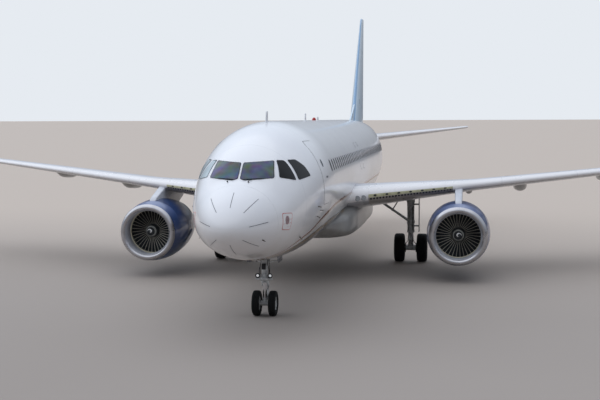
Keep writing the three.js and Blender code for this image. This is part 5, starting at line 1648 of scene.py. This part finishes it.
lean = (top - MAIN_AXLE).normalized()
cylinder = [(0, 1.23), (0.158, 1.23), (0.158, 1.30), (0.146, 1.32), (0.146, 1.58), (0.165, 1.60),
            (0.165, 1.72), (0.146, 1.74), (0.15, 2.45), (0.17, 2.5), (0.17, 2.99), (0, 2.99)]
steel = [turned([(radius, height - 1.23) for radius, height in cylinder], on_leg(1.23), lean, steps=48),
         rod(at_main(-0.2, 0, 0.584), at_main(0.2, 0, 0.584), 0.12),
         turned([(0, 0), (0.13, 0), (0.125, 0.1), (0.105, 0.18), (0, 0.18)], on_leg(0.56), lean, steps=40),
         rod(at_main(-0.09, -0.43, 0.98), at_main(0.09, -0.43, 0.98), 0.035)]
knee = on_leg(1.65)
elbow = knee + (Vector((2.35, knee.y - 0.03, 2.64)) - knee) * 0.52
steel += [rod(knee, elbow, 0.058, 0.05), rod(elbow, (2.35, knee.y - 0.03, 2.64), 0.05, 0.058),
          rod(elbow - Vector((0, 0.09, 0)), elbow + Vector((0, 0.09, 0)), 0.055),
          rod(elbow, (3.40, knee.y + 0.02, 2.75), 0.026, steps=16)]
for side in (1, -1):
    wide = side * 0.085
    joint = at_main(wide * 0.5, -0.43, 0.98)
    steel += [rod(at_main(wide, -0.09, 0.66), joint, 0.034, 0.026, steps=16),
              rod(joint, on_leg(1.33) + Vector((wide, -0.08, 0)), 0.026, 0.034, steps=16)]
leg_door = plate([(17.29, 1.26), (18.04, 1.26), (18.04, 2.70), (17.29, 2.70)], 4.125, 4.157, corner=0.09,
                 edge=0.008)
struts = [rod(on_leg(z), Vector((4.13, on_leg(z).y, z)), 0.032, steps=16) for z in (1.5, 2.4)]
both_sides("main_leg_enamelled", joined(*steel, *struts), GEAR_PAINT, "airframe", ["main_leg_"])
both_sides("main_leg_door", leg_door, FAIRING_GREY)
both_sides("main_piston", rod(on_leg(0.70), on_leg(1.26), 0.104, steps=40), CHROME)
brake_pack = [(0.125, 0.0), (0.2, 0.0), (0.2, 0.03), (0.186, 0.035), (0.186, 0.06), (0.2, 0.065),
              (0.2, 0.108), (0.125, 0.108)]
brakes = []
for side in (1, -1):
    brakes.append(turned(brake_pack, MAIN_AXLE + side * 0.205 * OUTWARD, side * OUTWARD, closed=True))
    brakes.append(pipe([at_main(0.21 * side, -0.12, 0.75), at_main(0.13 * side, -0.14, 0.86),
                        at_main(0.10 * side, -0.16, 1.1), on_leg(1.45) + Vector((0.08 * side, -0.15, 0)),
                        on_leg(2.3) + Vector((0.07 * side, -0.16, 0))], 0.013))
both_sides("main_brakes_and_pipes", brakes, BLACK_STEEL)
print("main leg leans", round(math.degrees(math.acos(lean.z)), 1), "degrees")

# %% [markdown]
# Small things finish the aircraft: red beacons on the crown and belly, coloured lights at the tips, the
# landing lights at the wing roots, static wicks on the trailing edges, the exhaust of the auxiliary power
# unit in the tail, drain masts and the round outflow and inlet grilles.

# %% Lights, wicks and small fittings
BEACON_RED = mottled("red_beacon_glass", 20.0, "#8e1512", "#c42620", shine=(0.08, 0.15))
GREEN_GLASS = mottled("green_position_light_glass", 20.0, "#0f5a33", "#1f8c52", shine=(0.08, 0.15))


def dome(foot, direction, radius, height):
    """The glass of a small light, half an ellipse on a short foot."""
    profile = [(radius * math.cos(a), height * math.sin(a)) for a in evenly(0, math.pi / 2, 8)]
    return turned([(0, -0.03), (radius, -0.03)] + profile[:-1] + [(0, height)], foot, direction, steps=32)


beacons = joined(dome(Vector((0, aft(15.9), 5.868)), (0, 0, 1), 0.08, 0.11),
                 dome(Vector((0, aft(16.4), 1.472)), (0, 0, -1), 0.08, 0.10))
piece("red_beacons", beacons, BEACON_RED)
tip = on_wing(16.9, 0.02)
for side, side_name, finish in ((1, "left", BEACON_RED), (-1, "right", GREEN_GLASS)):
    lamp = moved(dome(Vector((0, 0, 0)), (0, -1, 0), 0.05, 0.13), (side * 16.93, tip.y + 0.02, tip.z))
    piece(f"position_light_{side_name}", lamp, finish)
lens = [(0, 0.0), (0.10, 0.0), (0.10, 0.02), (0, 0.035)]
root_lamps = [turned(lens, on_wing(x, 0) + Vector((0, -0.012, -0.03)), (0, -1, 0), steps=32)
              for x in (2.12, 2.33)]
both_sides("landing_lights", root_lamps, DULL_GLASS)
edges = [on_wing(x, 1.0) for x in (13.0, 13.8, 14.6, 15.4, 16.3, 16.75)]
edges += [on_tailplane(x, 1.0) for x in (3.2, 4.2, 5.2, 6.1)]
wicks = [rod(edge - 0.02 * BACK, edge + 0.17 * BACK, 0.005, steps=8) for edge in edges]
both_sides("static_wicks", joined(wicks[4], wicks[5], wicks[9]), BLACK_STEEL)
both_sides("aileron_wicks", joined(*wicks[:4]), BLACK_STEEL, "aileron_")
both_sides("elevator_wicks", joined(*wicks[6:9]), BLACK_STEEL, "elevator_")
tail_end = Vector((0, aft(LENGTH), 4.98))
tail_pipe = turned([(0.10, -0.20), (0.15, -0.20), (0.17, -0.02), (0.155, 0.0), (0.14, -0.01), (0.10, -0.15)],
                   tail_end, BACK, steps=48, closed=True)
outlet = turned([(0, -0.03), (0.17, -0.03), (0.19, 0.002), (0.15, 0.006), (0, 0.004)], tail_end, BACK)
piece("tail_exhaust", joined(painted(tail_pipe, 0), painted(outlet, 1)), [HOT_METAL, BLACK_STEEL])
masts = []
for station, foot in ((10.6, 1.75), (23.0, 1.76), (26.4, 1.97)):
    outline = [(station - 0.09, foot), (station - 0.02, foot - 0.17), (station + 0.10, foot - 0.17),
               (station + 0.09, foot)]
    masts.append(plate(outline, -0.01, 0.01, edge=0.008))
piece("drain_masts", masts, FRAME_METAL)
vents = [laid(oval(10.9, 2.62, 0.11, 0.11), side, 0.004, 0.01) for side in (left_side, right_side)]
vents += [laid(rectangle(6.55, 2.32, 6.86, 2.52), left_side, 0.004, 0.01, corner=0.03),
          laid(rectangle(27.4, 2.75, 27.75, 3.0), right_side, 0.004, 0.01, corner=0.03)]
piece("vents_and_service_panels", vents, STRIP)
print("static wicks a side", len(wicks))
